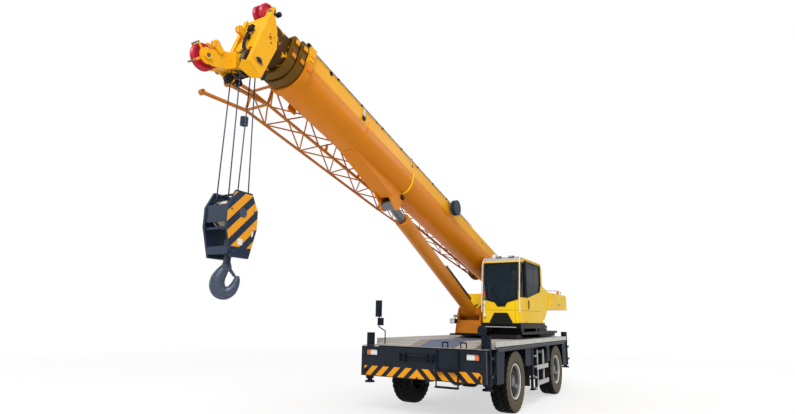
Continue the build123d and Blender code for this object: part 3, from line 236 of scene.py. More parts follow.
def swept(points, radii, sides=12, steps=8, flat=1.0, across=None):
    """Bent bar: a Catmull-Rom curve through points, with rings of radius r (cos a across, flat sin a other)."""
    p = np.asarray(points, float)
    r = np.broadcast_to(np.asarray(radii, float), (len(p),)).copy()
    data = np.column_stack([p, r])
    data = np.vstack([2 * data[0] - data[1], data, 2 * data[-1] - data[-2]])
    t = np.linspace(0, 1, steps, endpoint=False)[None, :, None]
    a, b, c, d = (data[i:len(data) - 3 + i][:, None] for i in range(4))
    curve = 0.5 * (2 * b + (c - a) * t + (2 * a - 5 * b + 4 * c - d) * t ** 2 + (3 * b - a - 3 * c + d) * t ** 3)
    curve = np.vstack([curve.reshape(-1, 4), data[-2]])
    run = np.gradient(curve[:, :3], axis=0)
    run /= np.linalg.norm(run, axis=1, keepdims=True)
    if across is None:
        least = np.eye(3)[np.argmin(np.abs(run).mean(axis=0))]
        side = np.cross(run, least)
    else:
        side = np.broadcast_to(np.asarray(across, float), run.shape).copy()
        side = np.cross(np.cross(run, side), run)
    side /= np.linalg.norm(side, axis=1, keepdims=True)
    other = np.cross(run, side)
    angle = np.linspace(0, 2 * np.pi, sides, endpoint=False)
    ring = (np.cos(angle)[None, :, None] * side[:, None] + flat * np.sin(angle)[None, :, None] * other[:, None])
    shell = curve[:, None, :3] + curve[:, None, 3:] * ring
    rows = len(curve)
    faces = grid_faces(rows, sides, close_columns=True).tolist()
    last = (rows - 1) * sides
    return shell.reshape(-1, 3), faces + [list(range(sides)), list(range(last + sides - 1, last - 1, -1))]


def bolts(centres, axis, radius=0.012, height=0.012):
    """Hexagon heads with a chamfered top, one at each centre, standing along axis."""
    axis = np.asarray(axis, float)
    across = np.cross(axis, [0.3, 0.5, 0.8])
    across /= np.linalg.norm(across)
    profile = ((0, 0.0), (0, radius), (0.75 * height, radius), (height, 0.8 * radius), (height, 0.0))
    return [lathe(profile, c, axis, across, 6) for c in centres]


def ring_of(centre, axis, radius, count, start=0.0):
    """Centres of count things spaced round a circle: centre + radius (cos a, sin a) across axis."""
    axis = np.asarray(axis, float)
    across = np.cross(axis, [0.3, 0.5, 0.8])
    across /= np.linalg.norm(across)
    other = np.cross(axis, across)
    a = start + np.linspace(0, 2 * np.pi, count, endpoint=False)
    return np.asarray(centre) + radius * (np.cos(a)[:, None] * across + np.sin(a)[:, None] * other)


# ------------------------------------------------------------ materials


def linear(code):
    """sRGB hex such as "#F2A81D" turned to linear red, green, blue, 1."""
    values = [int(code[i:i + 2], 16) / 255 for i in (1, 3, 5)]
    return tuple(v / 12.92 if v <= 0.04045 else ((v + 0.055) / 1.055) ** 2.4 for v in values) + (1.0,)


def add_node(tree, kind, settings=None, **links):
    """Adds a shader node of that kind. settings go to its properties or input defaults, links to its inputs."""
    node = tree.nodes.new("ShaderNode" + kind)
    for key, value in (settings or {}).items():
        if isinstance(key, int):
            node.inputs[key].default_value = value
        elif hasattr(node, key):
            setattr(node, key, value)
        else:
            node.inputs[key].default_value = value
    for key, socket in links.items():
        name = key.replace("_", " ")
        tree.links.new(socket, node.inputs[int(key[1:]) if key[0] == "i" and key[1:].isdigit() else name])
    return node


def new_material(name, base, roughness, metallic=0.0, coat=0.0, ior=1.5, specular=0.5):
    """Material with a Principled shader whose constant values sit on its own sockets."""
    material = bpy.data.materials.new(name)
    material.use_nodes = True
    shader = material.node_tree.nodes["Principled BSDF"]
    shader.inputs["Base Color"].default_value = linear(base)
    shader.inputs["Roughness"].default_value = roughness
    shader.inputs["Metallic"].default_value = metallic
    shader.inputs["IOR"].default_value = ior
    shader.inputs["Coat Weight"].default_value = coat
    shader.inputs["Specular IOR Level"].default_value = specular
    material.diffuse_color = linear(base)
    return material, material.node_tree, shader


def own_space(tree):
    """The object's own coordinates, whole and as x, y and z."""
    where = add_node(tree, "TexCoord").outputs["Object"]
    split = add_node(tree, "SeparateXYZ", Vector=where)
    return where, split.outputs["X"], split.outputs["Y"], split.outputs["Z"]


def along_axis(tree, vector, axis, origin=(0.0, 0.0, 0.0)):
    """Distance of the object's own point along an axis from an origin: (point - origin) . axis."""
    shift = add_node(tree, "VectorMath", {"operation": "SUBTRACT", 1: tuple(map(float, origin))}, i0=vector)
    return add_node(tree, "VectorMath", {"operation": "DOT_PRODUCT", 1: tuple(map(float, axis))},
                    i0=shift.outputs["Vector"]).outputs["Value"]


def overlay(material, mask, code, roughness=None):
    """Lays another colour over a material's base colour wherever the mask socket is 1."""
    tree = material.node_tree
    shader = tree.nodes["Principled BSDF"]
    under = shader.inputs["Base Color"].links[0].from_socket
    tone = add_node(tree, "Mix", {"data_type": "RGBA", 7: linear(code)}, Factor=mask, i6=under)
    tree.links.new(tone.outputs[2], shader.inputs["Base Color"])
    if roughness is not None:
        was = shader.inputs["Roughness"].links[0].from_socket
        both = add_node(tree, "Mix", {3: roughness}, Factor=mask, i2=was)
        tree.links.new(both.outputs[0], shader.inputs["Roughness"])


def product(tree, *masks):
    """1 where every mask is 1."""
    out = masks[0]
    for mask in masks[1:]:
        out = add_node(tree, "Math", {"operation": "MULTIPLY"}, i0=out, i1=mask).outputs[0]
    return out


def painted(name, base, shade, roughness=0.35, coat=0.35, grain_mm=0.9, bump=0.06, patch_mm=450.0, dust=None,
            specular=0.4):
    """Sprayed paint on steel plate: orange-peel bump of grain_mm, broad patches towards shade, and dust low down."""
    material, tree, shader = new_material(name, base, roughness, coat=coat, specular=specular)
    shader.inputs["Coat Roughness"].default_value = 0.12
    where, _, _, z = own_space(tree)
    patches = add_node(tree, "TexNoise", {"Scale": 1000 / patch_mm, "Detail": 4.0, "Roughness": 0.6}, Vector=where)
    ramp = add_node(tree, "MapRange", {"From Min": 0.42, "From Max": 0.72, "To Max": 0.55},
                    Value=patches.outputs["Fac"])
    colour = add_node(tree, "Mix", {"data_type": "RGBA", 6: linear(base), 7: linear(shade)},
                      Factor=ramp.outputs["Result"])
    out = colour.outputs[2]
    if dust:
        low = add_node(tree, "MapRange", {"From Min": 1.1, "From Max": 0.1, "To Max": 0.45}, Value=z)
        fine = add_node(tree, "TexNoise", {"Scale": 14.0, "Detail": 6.0}, Vector=where)
        both = product(tree, low.outputs["Result"], fine.outputs["Fac"])
        out = add_node(tree, "Mix", {"data_type": "RGBA", 7: linear(dust)}, Factor=both, i6=out).outputs[2]
    tree.links.new(out, shader.inputs["Base Color"])
    peel = add_node(tree, "TexNoise", {"Scale": 1000 / (grain_mm * 12), "Detail": 2.0}, Vector=where)
    rough = add_node(tree, "MapRange", {"To Min": roughness - 0.05, "To Max": roughness + 0.09},
                     Value=patches.outputs["Fac"])
    tree.links.new(rough.outputs["Result"], shader.inputs["Roughness"])
    relief = add_node(tree, "Bump", {"Strength": bump, "Distance": 0.001}, Height=peel.outputs["Fac"])
    tree.links.new(relief.outputs["Normal"], shader.inputs["Normal"])
    return material


def band_between(tree, socket, low, high=99.0):
    """1 where the value lies between low and high, else 0; 99 m either way is an open end."""
    over = add_node(tree, "Math", {"operation": "GREATER_THAN", 1: low}, i0=socket)
    under = add_node(tree, "Math", {"operation": "LESS_THAN", 1: high}, i0=socket)
    return product(tree, over.outputs[0], under.outputs[0])


def textured(name, base, roughness, kind, settings, output="Fac", tones=None, rough=None, relief=None, **look):
    """Material led by one texture, which may mix two tones, set the roughness and lift the surface.

    rough is the roughness where the texture is 0 and 1, relief the bump's strength and its height in metres.
    """
    material, tree, shader = new_material(name, base, roughness, **look)
    where = add_node(tree, "TexCoord")
    texture = add_node(tree, kind, settings, Vector=where.outputs["Object"]).outputs[output]
    if tones:
        dark, light = (linear(code) for code in tones)
        tone = add_node(tree, "Mix", {"data_type": "RGBA", 6: dark, 7: light}, Factor=texture)
        tree.links.new(tone.outputs[2], shader.inputs["Base Color"])
    if rough:
        spread = add_node(tree, "MapRange", {"To Min": rough[0], "To Max": rough[1]}, Value=texture)
        tree.links.new(spread.outputs["Result"], shader.inputs["Roughness"])
    if relief:
        bump = add_node(tree, "Bump", {"Strength": relief[0], "Distance": relief[1]}, Height=texture)
        tree.links.new(bump.outputs["Normal"], shader.inputs["Normal"])
    return material


MATERIALS = {}


def make_materials(paint):
    """All finishes of the crane, by name."""
    m = MATERIALS
    # two-pack polyurethane sprayed on folded plate; its lower shell is given a deeper orange, which is painted shade
    # of the boom's underside
    boom = painted("boom_polyurethane_enamel", paint.boom, paint.boom_shade, coat=0.0, specular=0.15)
    tree = boom.node_tree
    above = along_axis(tree, own_space(tree)[0], UP, FOOT)
    lower = add_node(tree, "MapRange", {"From Min": 0.075, "From Max": 0.045, "To Max": 0.92}, Value=above)
    overlay(boom, lower.outputs["Result"], paint.boom_underside_shade)
    m["boom_enamel"] = boom
    # the same paint on the head: bright on its plates, dark brown patches on the tube behind them
    head = painted("head_polyurethane_enamel", "#F2B01A", "#E29C14", coat=0.0, specular=0.14)
    tree = head.node_tree
    where, _, y, _ = own_space(tree)
    behind = band_between(tree, along_axis(tree, where, ALONG, FOOT), 9.84, 10.438)
    out = add_node(tree, "Math", {"operation": "ABSOLUTE"}, i0=y)
    tube_only = band_between(tree, out.outputs[0], -99.0, 0.2262)
    patchy = add_node(tree, "TexNoise", {"Scale": 9.0, "Detail": 3.0}, Vector=where)
    kept = add_node(tree, "MapRange", {"From Min": 0.62, "From Max": 0.56}, Value=patchy.outputs["Fac"])
    overlay(head, product(tree, behind, tube_only, kept.outputs["Result"]), "#4A2E10")
    m["head_enamel"] = head
    # boom sections: the same yellow, with near-black grease on the ends and collars that stand ahead of the base
    section = painted("greased_section_enamel", "#E6A41C", "#C98A1E", roughness=0.42, coat=0.0, patch_mm=300.0,
                      specular=0.15)
    tree = section.node_tree
    ahead = along_axis(tree, own_space(tree)[0], ALONG, FOOT)
    dark = add_node(tree, "MapRange", {"From Min": 9.80, "From Max": 9.84, "To Max": 0.85}, Value=ahead)
    overlay(section, dark.outputs["Result"], "#33230F", roughness=0.4)
    m["section_enamel"] = section
    # jib tubes: a browner orange than the boom
    m["jib_enamel"] = painted("jib_tube_enamel", "#BE7420", "#A05A1E", roughness=0.42, coat=0.05, patch_mm=180.0,
                              specular=0.3)
    m["jib_head_paint"] = painted("jib_head_brown_enamel", "#8C4E1E", "#6E3A16", roughness=0.42, coat=0.15)
    # the cylinder's barrel and the turntable: orange, without the boom's bright side
    m["barrel_enamel"] = painted("cylinder_enamel", "#CE7E14", "#C07010", roughness=0.34, coat=0.1, specular=0.3)
    turn = painted("turntable_enamel", "#BC7018", "#A45E14", roughness=0.4, coat=0.0, specular=0.12)
    tree = turn.node_tree
    _, _, y, z = own_space(tree)
    # black: the base plate everywhere, and the sill and deck under the cab
    plate = band_between(tree, z, -99.0, 1.515)
    sill = product(tree, band_between(tree, z, -99.0, 1.756), band_between(tree, y, 0.3625))
    mask = add_node(tree, "Math", {"operation": "MAXIMUM"}, i0=sill, i1=plate)
    overlay(turn, mask.outputs[0], "#0A0B0D")
    m["turntable_enamel"] = turn
    # the cab's panels are a lemon-sided yellow of the same paint, a little glossier
    m["cab_enamel"] = painted("cab_panel_enamel", paint.cab, paint.cab_shade, roughness=0.32, coat=0.0, specular=0.14)
    m["cab_shell_enamel"] = cab_shell_paint(paint)
    door = painted("door_panel_enamel", paint.cab, paint.cab_shade, roughness=0.32, coat=0.0, specular=0.14)
    tree = door.node_tree
    _, x, y, z = own_space(tree)
    # black beside the glass: the door's front upright, and every face but the outer one
    high = band_between(tree, z, 2.325)
    upright = product(tree, band_between(tree, x, 0.757), high)
    edges = product(tree, band_between(tree, y, -99.0, 1.2495), high)
    mask = add_node(tree, "Math", {"operation": "MAXIMUM"}, i0=upright, i1=edges)
    overlay(door, mask.outputs[0], "#15181C")
    m["door_enamel"] = door
    # white and pale grey enamels of rails, reel brackets and the deck's edge
    m["white_enamel"] = painted("white_rail_enamel", "#F1F1EE", "#D9DADB", roughness=0.3, coat=0.3)
    m["white_vinyl"] = painted("blank_white_film", "#DFE3E8", "#C9CFD6", roughness=0.5, coat=0.0)
    m["pale_paint"] = painted("deck_edge_aluminium_paint", "#C9CAC4", "#A9AAA6", roughness=0.45, coat=0.05,
                              patch_mm=240.0)
    # coloured polycarbonate lamp domes
    for key, name, code, deep in (("lamp_green", "green_lamp_dome", "#1F5A44", "#123A2C"),
                                  ("lamp_red", "red_lamp_dome", "#D8382E", "#A8201C"),
                                  ("lamp_amber", "amber_lamp_lens", "#E8681C", "#C04C12"),
                                  ("lamp_teal", "teal_lamp_dome", "#1B8E86", "#106860")):
        m[key] = painted(name, code, deep, roughness=0.12, coat=0.6, bump=0.02, patch_mm=40.0)
    # panel seams: the dark gap between pressed sheets
    m["seam_shadow"] = painted("panel_gap_shadow", "#8A6A1C", "#6E5216", roughness=0.8, coat=0.0)
    # hydraulic hose: ribbed black rubber with a soft sheen
    m["hose_rubber"] = painted("hydraulic_hose_rubber", "#141416", "#222226", roughness=0.55, coat=0.05, grain_mm=2.0,
                               bump=0.2)
    # seat vinyl: fine pebble grain over foam
    m["vinyl"] = painted("pebbled_seat_vinyl", "#2B2D31", "#1F2124", roughness=0.62, coat=0.0, grain_mm=1.6,
                         bump=0.35)
    # cast steel of the main sheaves, given a dark brown that is also painted shade, standing in for the shaded lower
    # front of the head
    m["cast_steel"] = painted("greased_cast_steel", "#4A3A26", "#2C2418", roughness=0.45, coat=0.1, patch_mm=60.0)
    # worn rope in the block's window, bright where the strands rub
    m["pale_rope"] = painted("worn_rope_strands", "#D9CFC0", "#A89A86", roughness=0.5, coat=0.0, grain_mm=6.0,
                             bump=0.5, patch_mm=12.0)
    # wheel enamel: silver-grey with brake dust, and painted shade that darkens the dish the deeper it lies
    m["rim_paint"] = rim_paint()
    # blue-black chassis paint, semi-gloss, dusty near the road
    m["chassis_paint"] = painted("chassis_semi_gloss_paint", paint.chassis, paint.chassis_shade, roughness=0.42,
                                 coat=0.0, dust="#3C3A38", specular=0.1)
    # mudguards and jack posts: the same paint, greyed by weather
    m["guard_paint"] = painted("weathered_guard_paint", "#222A38", "#343D4B", roughness=0.5, coat=0.0, dust="#4E4B46",
                               specular=0.08)
    # the same paint on the hook block and reels, out of the road's dust
    m["block_paint"] = painted("block_semi_gloss_paint", "#18283E", "#22344C", roughness=0.4, coat=0.0, specular=0.25)
    # bright aluminium-flake wheel and guard paint
    m["silver_paint"] = painted("aluminium_flake_paint", "#B9BABC", "#9B9DA0", roughness=0.38, coat=0.1,
                                dust="#6F6A62")
    # red cast-nylon sheaves, waxy and slightly translucent-looking
    m["sheave_nylon"] = painted("cast_nylon_red", "#C4203C", "#8E1530", roughness=0.3, coat=0.0, bump=0.03)
    noise, wave = "TexNoise", "TexWave"
    # hard-chromed rod: mirror bright, dulled in soft clouds by oil
    m["chrome"] = textured("hard_chrome_plate", "#6E7378", 0.22, noise, {"Scale": 60.0, "Detail": 3.0},
                           rough=(0.2, 0.36), metallic=1.0)
    # turned and oiled steel pins
    m["steel"] = textured("turned_oiled_steel", "#6E7075", 0.38, noise, {"Scale": 22.0, "Detail": 5.0},
                          rough=(0.28, 0.55), metallic=1.0)
    # forged hook, phosphate-blackened and oiled: blue-grey with a scale-like mottle
    m["forged"] = textured("blackened_forged_steel", "#3A4454", 0.42, noise, {"Scale": 34.0, "Detail": 8.0},
                           tones=("#323B4A", "#5A6577"), relief=(0.2, 0.002), metallic=0.6)
    # galvanised six-strand steel rope, greased: bluish, with slanted strands 70 mm apart
    m["rope"] = textured("greased_wire_rope", "#3B4356", 0.5, wave, {"bands_direction": "DIAGONAL", "Scale": 14.0},
                         tones=("#2B3040", "#5B6378"), relief=(0.5, 0.003), metallic=0.5)
    # clear polycarbonate lamp covers, fluted over bright reflectors
    m["lens"] = textured("lamp_polycarbonate", "#E9ECEE", 0.08, wave, {"bands_direction": "Y", "Scale": 22.0},
                         tones=("#BFC5CA", "#F4F6F7"), ior=1.58)
    # moulded ABS of console, lamp bodies and mirrors: fine grain, no shine
    m["plastic"] = textured("grained_black_abs", "#0E0F11", 0.6, "TexVoronoi", {"Scale": 400.0},
                            output="Distance", relief=(0.15, 0.0005), ior=1.53, specular=0.25)
    # five-millimetre tinted laminated glass: mostly dark from outside, faintly blue
    m["glass"] = textured("tinted_laminated_glass", "#22323C", 0.03, noise, {"Scale": 5.0, "Detail": 3.0},
                          rough=(0.015, 0.07), specular=0.1)
    m["glass"].node_tree.nodes["Principled BSDF"].inputs["Alpha"].default_value = 0.62
    # tyre compound: carbon black and dull, its side walls browned by road dust
    rubber, tree, shader = new_material("tyre_compound", "#0C0C0E", 0.85, specular=0.15)
    where, _, y, _ = own_space(tree)
    film = add_node(tree, "TexNoise", {"Scale": 16.0, "Detail": 7.0}, Vector=where)
    fade = add_node(tree, "MapRange", {"From Min": 0.4, "From Max": 0.75}, Value=film.outputs["Fac"])
    tone = add_node(tree, "Mix", {"data_type": "RGBA", 6: linear("#0B0B0C"), 7: linear("#1C1A18")},
                    Factor=fade.outputs["Result"])
    tree.links.new(tone.outputs[2], shader.inputs["Base Color"])
    relief = add_node(tree, "Bump", {"Strength": 0.25, "Distance": 0.002}, Height=film.outputs["Fac"])
    tree.links.new(relief.outputs["Normal"], shader.inputs["Normal"])
    out = add_node(tree, "Math", {"operation": "ABSOLUTE"}, i0=y)
    wall = add_node(tree, "MapRange", {"From Min": 1.272, "From Max": 1.288, "To Max": 0.85}, Value=out.outputs[0])
    overlay(rubber, wall.outputs["Result"], "#6A6151")
    m["rubber"] = rubber
    m["chequer"] = chequer_plate(paint)
    m["bumper"] = striped_bumper(paint)
    m["stripes"] = striped_block(paint)


def cab_shell_paint(paint):
    """Cab enamel outside; near-black lining inside and round the glass; pale grey on the roof's front lip."""
    material = painted("cab_shell_enamel", paint.cab, paint.cab_shade, roughness=0.32, coat=0.0, specular=0.14)
    tree = material.node_tree
    where, x, y, z = own_space(tree)
    slope = along_axis(tree, where, (0.577, 0.0, 0.817))
    lean = along_axis(tree, where, (0.9915, 0.0, 0.1301))
    within = product(tree, band_between(tree, y, 0.3695, 1.2035), band_between(tree, z, 1.765, 3.2),
                     band_between(tree, x, -0.672, 1.2535), band_between(tree, slope, -99.0, 3.195),
                     band_between(tree, lean, -99.0, 1.5425))
    overlay(material, within, "#15181C")
    pane = product(tree, band_between(tree, y, 1.2, 1.21), band_between(tree, z, 2.322, 3.1),
                   band_between(tree, x, 0.8, 1.236))
    overlay(material, pane, "#15181C")
    lip = product(tree, band_between(tree, z, 3.142, 3.3), band_between(tree, x, 0.93, 1.3))
    overlay(material, lip, "#BDC1C2")
    return material


def rim_paint():
    """Silver wheel enamel with dust low down: bright on the outer lip, darkened inside the dish by painted shade, by
    distance from the tyre's face.
    """
    material = painted("silver_wheel_enamel", "#8F918F", "#77797A", roughness=0.36, coat=0.2, dust="#5F5A50",
                       patch_mm=120.0)
    tree = material.node_tree
    out = add_node(tree, "Math", {"operation": "ABSOLUTE"}, i0=own_space(tree)[2])
    # painted shade: the dish goes near-black the deeper it lies inside the tyre's face
    inside = add_node(tree, "MapRange", {"From Min": 1.252, "From Max": 1.215, "To Max": 0.9}, Value=out.outputs[0])
    overlay(material, inside.outputs["Result"], "#1F2120")
    overlay(material, band_between(tree, out.outputs[0], 1.262), "#D9DAD8")
    return material


def chequer_plate(paint):
    """Aluminium tread plate: raised lozenges 40 mm apart over dull mill finish, with painted fields."""
    material, tree, shader = new_material("aluminium_tread_plate", "#9A9B9C", 0.5, metallic=0.15)
    where, x, y, z = own_space(tree)
    turned = add_node(tree, "Mapping", {"Rotation": (0.0, 0.0, math.radians(45))}, Vector=where)
    lozenge = add_node(tree, "TexVoronoi", {"distance": "CHEBYCHEV", "Scale": 1000 / 40.0, "Randomness": 0.0},
                       Vector=turned.outputs["Vector"])
    raised = add_node(tree, "MapRange", {"From Min": 0.18, "From Max": 0.3, "To Min": 1.0, "To Max": 0.0},
                      Value=lozenge.outputs["Distance"])
    worn = add_node(tree, "TexNoise", {"Scale": 3.0, "Detail": 6.0}, Vector=where)
    base = add_node(tree, "Mix", {"data_type": "RGBA", 6: linear("#8E8C88"), 7: linear("#B9B5AC")},
                    Factor=worn.outputs["Fac"])
    tone = add_node(tree, "Mix", {"data_type": "RGBA", 7: linear("#F0EDE6")},
                    Factor=raised.outputs["Result"], i6=base.outputs[2])
    tree.links.new(tone.outputs[2], shader.inputs["Base Color"])
    relief = add_node(tree, "Bump", {"Strength": 0.6, "Distance": 0.004}, Height=raised.outputs["Result"])
    tree.links.new(relief.outputs["Normal"], shader.inputs["Normal"])
    # fields of the front deck: a smooth blue-grey hatch, a rusty brown patch beside it; the flange below is plain
    front = band_between(tree, x, 0.9, 3.52)
    overlay(material, product(tree, front, band_between(tree, y, -0.04, 0.68)), paint.hatch)
    patch = product(tree, front, band_between(tree, y, -0.27, -0.04))
    half = add_node(tree, "Math", {"operation": "MULTIPLY", 1: 0.55}, i0=patch)
    overlay(material, half.outputs[0], "#7A5A50")
    overlay(material, band_between(tree, z, -99.0, 1.2835), paint.chassis)
    overlay(material, band_between(tree, x, 3.5485), paint.chassis)
    return material


def stripe_mask(tree, along, up, pitch, width):
    """1 on slanted bars: where (along + up) mod pitch is less than width."""
    slanted = add_node(tree, "Math", {"operation": "ADD"}, i0=along, i1=up)
    place = add_node(tree, "Math", {"operation": "MODULO", 1: pitch}, i0=slanted.outputs[0])
    return band_between(tree, place.outputs[0], -99.0, width)


def striped_bumper(paint):
    """Chassis paint with a low band of slanted warning stripes that meet in a chevron at the middle."""
    material = painted("bumper_paint_with_stripes", paint.chassis, paint.chassis_shade, roughness=0.4, coat=0.0,
                       specular=0.2)
    tree = material.node_tree
    _, x, y, z = own_space(tree)
    middle = add_node(tree, "Math", {"operation": "ADD", 1: 0.06}, i0=y)
    mirrored = add_node(tree, "Math", {"operation": "ABSOLUTE"}, i0=middle.outputs[0])
    stripe = stripe_mask(tree, mirrored.outputs[0], z, 0.25, 0.135)
    mask = product(tree, stripe, band_between(tree, z, 0.715, 0.895), band_between(tree, y, -1.235, 1.235),
                   band_between(tree, x, 3.588))
    overlay(material, mask, paint.stripe)
    return material


def striped_block(paint):
    """Hook block paint with slanted warning stripes on its outer faces."""
    material = painted("block_paint_with_stripes", "#18283E", "#22344C", roughness=0.4, coat=0.0, specular=0.25)
    tree = material.node_tree
    _, x, y, z = own_space(tree)
    shifted = add_node(tree, "Math", {"operation": "ADD", 1: -0.1}, i0=x)
    stripe = stripe_mask(tree, shifted.outputs[0], z, 0.235, 0.122)
    out = add_node(tree, "Math", {"operation": "ABSOLUTE"}, i0=y)
    mask = product(tree, stripe, band_between(tree, out.outputs[0], 0.198), band_between(tree, z, 2.56, 3.19))
    overlay(material, mask, paint.stripe)
    return material


# CAD node -> finish; wheels, tyres and others that get a modelled piece are replaced elsewhere
NODE_FINISH = {
    "boom_enamel": ("boom_base",),
    "section_enamel": ("boom_section_2", "boom_section_3"),
    "head_enamel": ("boom_head", "jib"),
    "barrel_enamel": ("lift_barrel",),
    "turntable_enamel": ("turntable",),
    "cab_enamel": ("counterweight", "machine_housings"),
    "cab_shell_enamel": ("cab_shell",),
    "door_enamel": ("cab_door",),
    "chassis_paint": ("chassis_frame", "access_ladders", "engine_block", "side_tanks", "front_mirrors",
                      "front_axle", "rear_axle", "slewing_ring", "winches"),
    "guard_paint": ("mudguards",),
    "block_paint": ("cable_reel", "overwind_weight"),
    "bumper": ("front_bumper",),
    "stripes": ("hook_block",),
    "silver_paint": ("side_guards",),
    "chequer": ("deck",),
    "sheave_nylon": ("head_sheaves",),
    "chrome": ("lift_rod",),
    "steel": ("boom_foot_pin", "lift_foot_pin", "main_sheave_shaft", "lift_sleeve"),
    "forged": ("hook",),
    "glass": ("cab_glass", "door_glass"),
    "plastic": ("control_console", "operator_seat"),
    "lens": ("lamps",),
}


def dress(node, material):
    """Puts one material on every face of a CAD node."""
    obj = NODES[node]
    obj.data.materials.clear()
    obj.data.materials.append(material)


# ------------------------------------------------------------ settings that a user would change


class CranePaint(bpy.types.PropertyGroup):
    """Colours of the paint, as sRGB hex."""

    boom: bpy.props.StringProperty(name="Boom", description="Boom and turntable yellow", default="#F0AC18")
    boom_shade: bpy.props.StringProperty(name="Boom shade", description="Deeper patches of the boom's paint",
                                         default="#E69E14")
    # deeper orange laid on the boom's lower shell: painted shade of its underside
    boom_underside_shade: bpy.props.StringProperty(name="Boom underside", description="Orange of the boom's lower shell",
                                         default="#D87E12")
    cab: bpy.props.StringProperty(name="Cab", description="Cab and housing yellow", default="#FBD01C")
    cab_shade: bpy.props.StringProperty(name="Cab shade", description="Deeper patches of the cab's paint",
                                        default="#EFBC18")
    chassis: bpy.props.StringProperty(name="Chassis", description="Blue-black of the carrier", default="#141B26")
    chassis_shade: bpy.props.StringProperty(name="Chassis shade", description="Paler patches of the carrier",
                                            default="#1E2734")
    hatch: bpy.props.StringProperty(name="Deck hatch", description="Blue-grey of the deck's smooth hatch",
                                    default="#5D6982")
    stripe: bpy.props.StringProperty(name="Stripe", description="Warning stripe yellow", default="#E89A12")


class CraneWheels(bpy.types.PropertyGroup):
    """Sizes of the tyres."""

    lugs: bpy.props.IntProperty(name="Lugs", description="Tread lugs round each side of a tyre", default=30, min=8,
                                max=60)
    lug_depth: bpy.props.FloatProperty(name="Lug depth", description="Depth of the tread", default=0.024,
                                       unit="LENGTH")


class CraneRopes(bpy.types.PropertyGroup):
    """Sizes of the hoist ropes."""

    diameter: bpy.props.FloatProperty(name="Rope diameter", description="Diameter of the hoist rope", default=0.016,
                                      unit="LENGTH")


SETTINGS = (CranePaint, CraneWheels, CraneRopes)


# ------------------------------------------------------------ operators


class CRANE_OT_paint(bpy.types.Operator):
    """Gives every CAD node of the crane its finish."""

    bl_idname = "crane.paint"
    bl_label = "Paint the crane"

    def execute(self, context):
        make_materials(context.scene.crane_paint)
        for finish, nodes in NODE_FINISH.items():
            for node in nodes:
                dress(node, MATERIALS[finish])
        for corner, _ in CORNERS:
            dress(f"{corner}_knuckle", MATERIALS["chassis_paint"])
            dress(f"{corner}_outrigger_beam", MATERIALS["chassis_paint"])
            dress(f"{corner}_jack", MATERIALS["chassis_paint"])
            dress(f"{corner}_tyre", MATERIALS["rubber"])
            dress(f"{corner}_rim", MATERIALS["silver_paint"])
        return {"FINISHED"}


class CRANE_OT_wheels(bpy.types.Operator):
    """Models the four tyres with their tread, and the rims with lips, rings round the hand holes, hubs and nuts."""

    bl_idname = "crane.wheels"
    bl_label = "Model the wheels"

    def execute(self, context):
        sizes = context.scene.crane_wheels
        for corner, s in CORNERS:
            low, high = (np.array(c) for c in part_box(f"{corner}_tyre"))
            centre = (low + high) / 2
            points, faces = tyre_shell(centre, (high[2] - low[2]) / 2, (high[1] - low[1]) / 2, sizes, s)
            tyre = new_object(f"{corner}_treaded_tyre", points, faces, MATERIALS["rubber"])
            tyre.data.set_sharp_from_angle(angle=math.radians(38))
            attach(tyre, f"{corner}_wheel")
            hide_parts(f"{corner}_tyre")
            # the disc stands on the tyre's middle, and its outer lip 22 mm inside the tyre's wall
            rim = piece(f"{corner}_disc_rim", rim_parts(centre, s), "rim_paint", f"{corner}_wheel")
            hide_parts(f"{corner}_rim")
            nuts = bolts(ring_of(centre + (0, s * 0.026, 0), s * LEFT, 0.168, 10), s * LEFT, 0.017, 0.026)
            nuts += bolts(ring_of(centre + (0, s * 0.112, 0), s * LEFT, 0.094, 8), s * LEFT, 0.011, 0.01)
            piece(f"{corner}_wheel_nuts", nuts, "steel", f"{corner}_wheel")
        return {"FINISHED"}


def tyre_shell(centre, radius, half, sizes, s):
    """Tyre turned about y: r = profile radius, less the lug depth wherever a groove of the tread runs.

    The grooves are slanted bars, sizes.lugs to a side, that lean forwards from the middle to the shoulder,
    and two zigzag rings; the side walls bulge as a half ellipse between the bead and the shoulder.
    """
    across = np.linspace(-1, 1, 45)
    tread_y = across * (half - 0.014)
    tread_r = radius - 0.020 * np.abs(across) ** 5
    a = np.linspace(0.16, 1.0, 16)
    wall_y = half - 0.014 * (1 - np.sin(np.pi * a)) ** 2 - 0.030 * a ** 6
    wall_r = radius - 0.022 - (radius - 0.022 - 0.335) * a
    y = np.concatenate([tread_y, wall_y, [half - 0.06, -half + 0.06], -wall_y[::-1]])
    r = np.concatenate([tread_r, wall_r, [0.335, 0.335], wall_r[::-1]])
    turn = np.linspace(0, 2 * np.pi, sizes.lugs * 12, endpoint=False)
    t, yy = np.meshgrid(turn, y, indexing="xy")
    rr = np.repeat(r[:, None], len(turn), axis=1)
    side = np.sign(yy)
    lean = np.abs(yy) / half
    phase = (sizes.lugs * t / (2 * np.pi) + 1.1 * lean + 0.5 * (side > 0)) % 1.0
    bar = np.clip((np.abs(phase - 0.5) - 0.27) * 9, 0, 1) * (lean > 0.16)
    zigzag = 0.36 + 0.07 * np.sign(np.sin(sizes.lugs * t))
    ring = np.clip(1 - np.abs(lean - zigzag) * 14, 0, 1)
    on_tread = np.clip((rr - (radius - 0.055)) * 40, 0, 1)
    rr = rr - sizes.lug_depth * np.maximum(bar, ring) * on_tread
    points = np.stack([centre[0] + rr * np.sin(t), centre[1] + yy, centre[2] + rr * np.cos(t)], axis=-1)
    return points.reshape(-1, 3), grid_faces(len(y), len(turn), close_rows=True, close_columns=True)


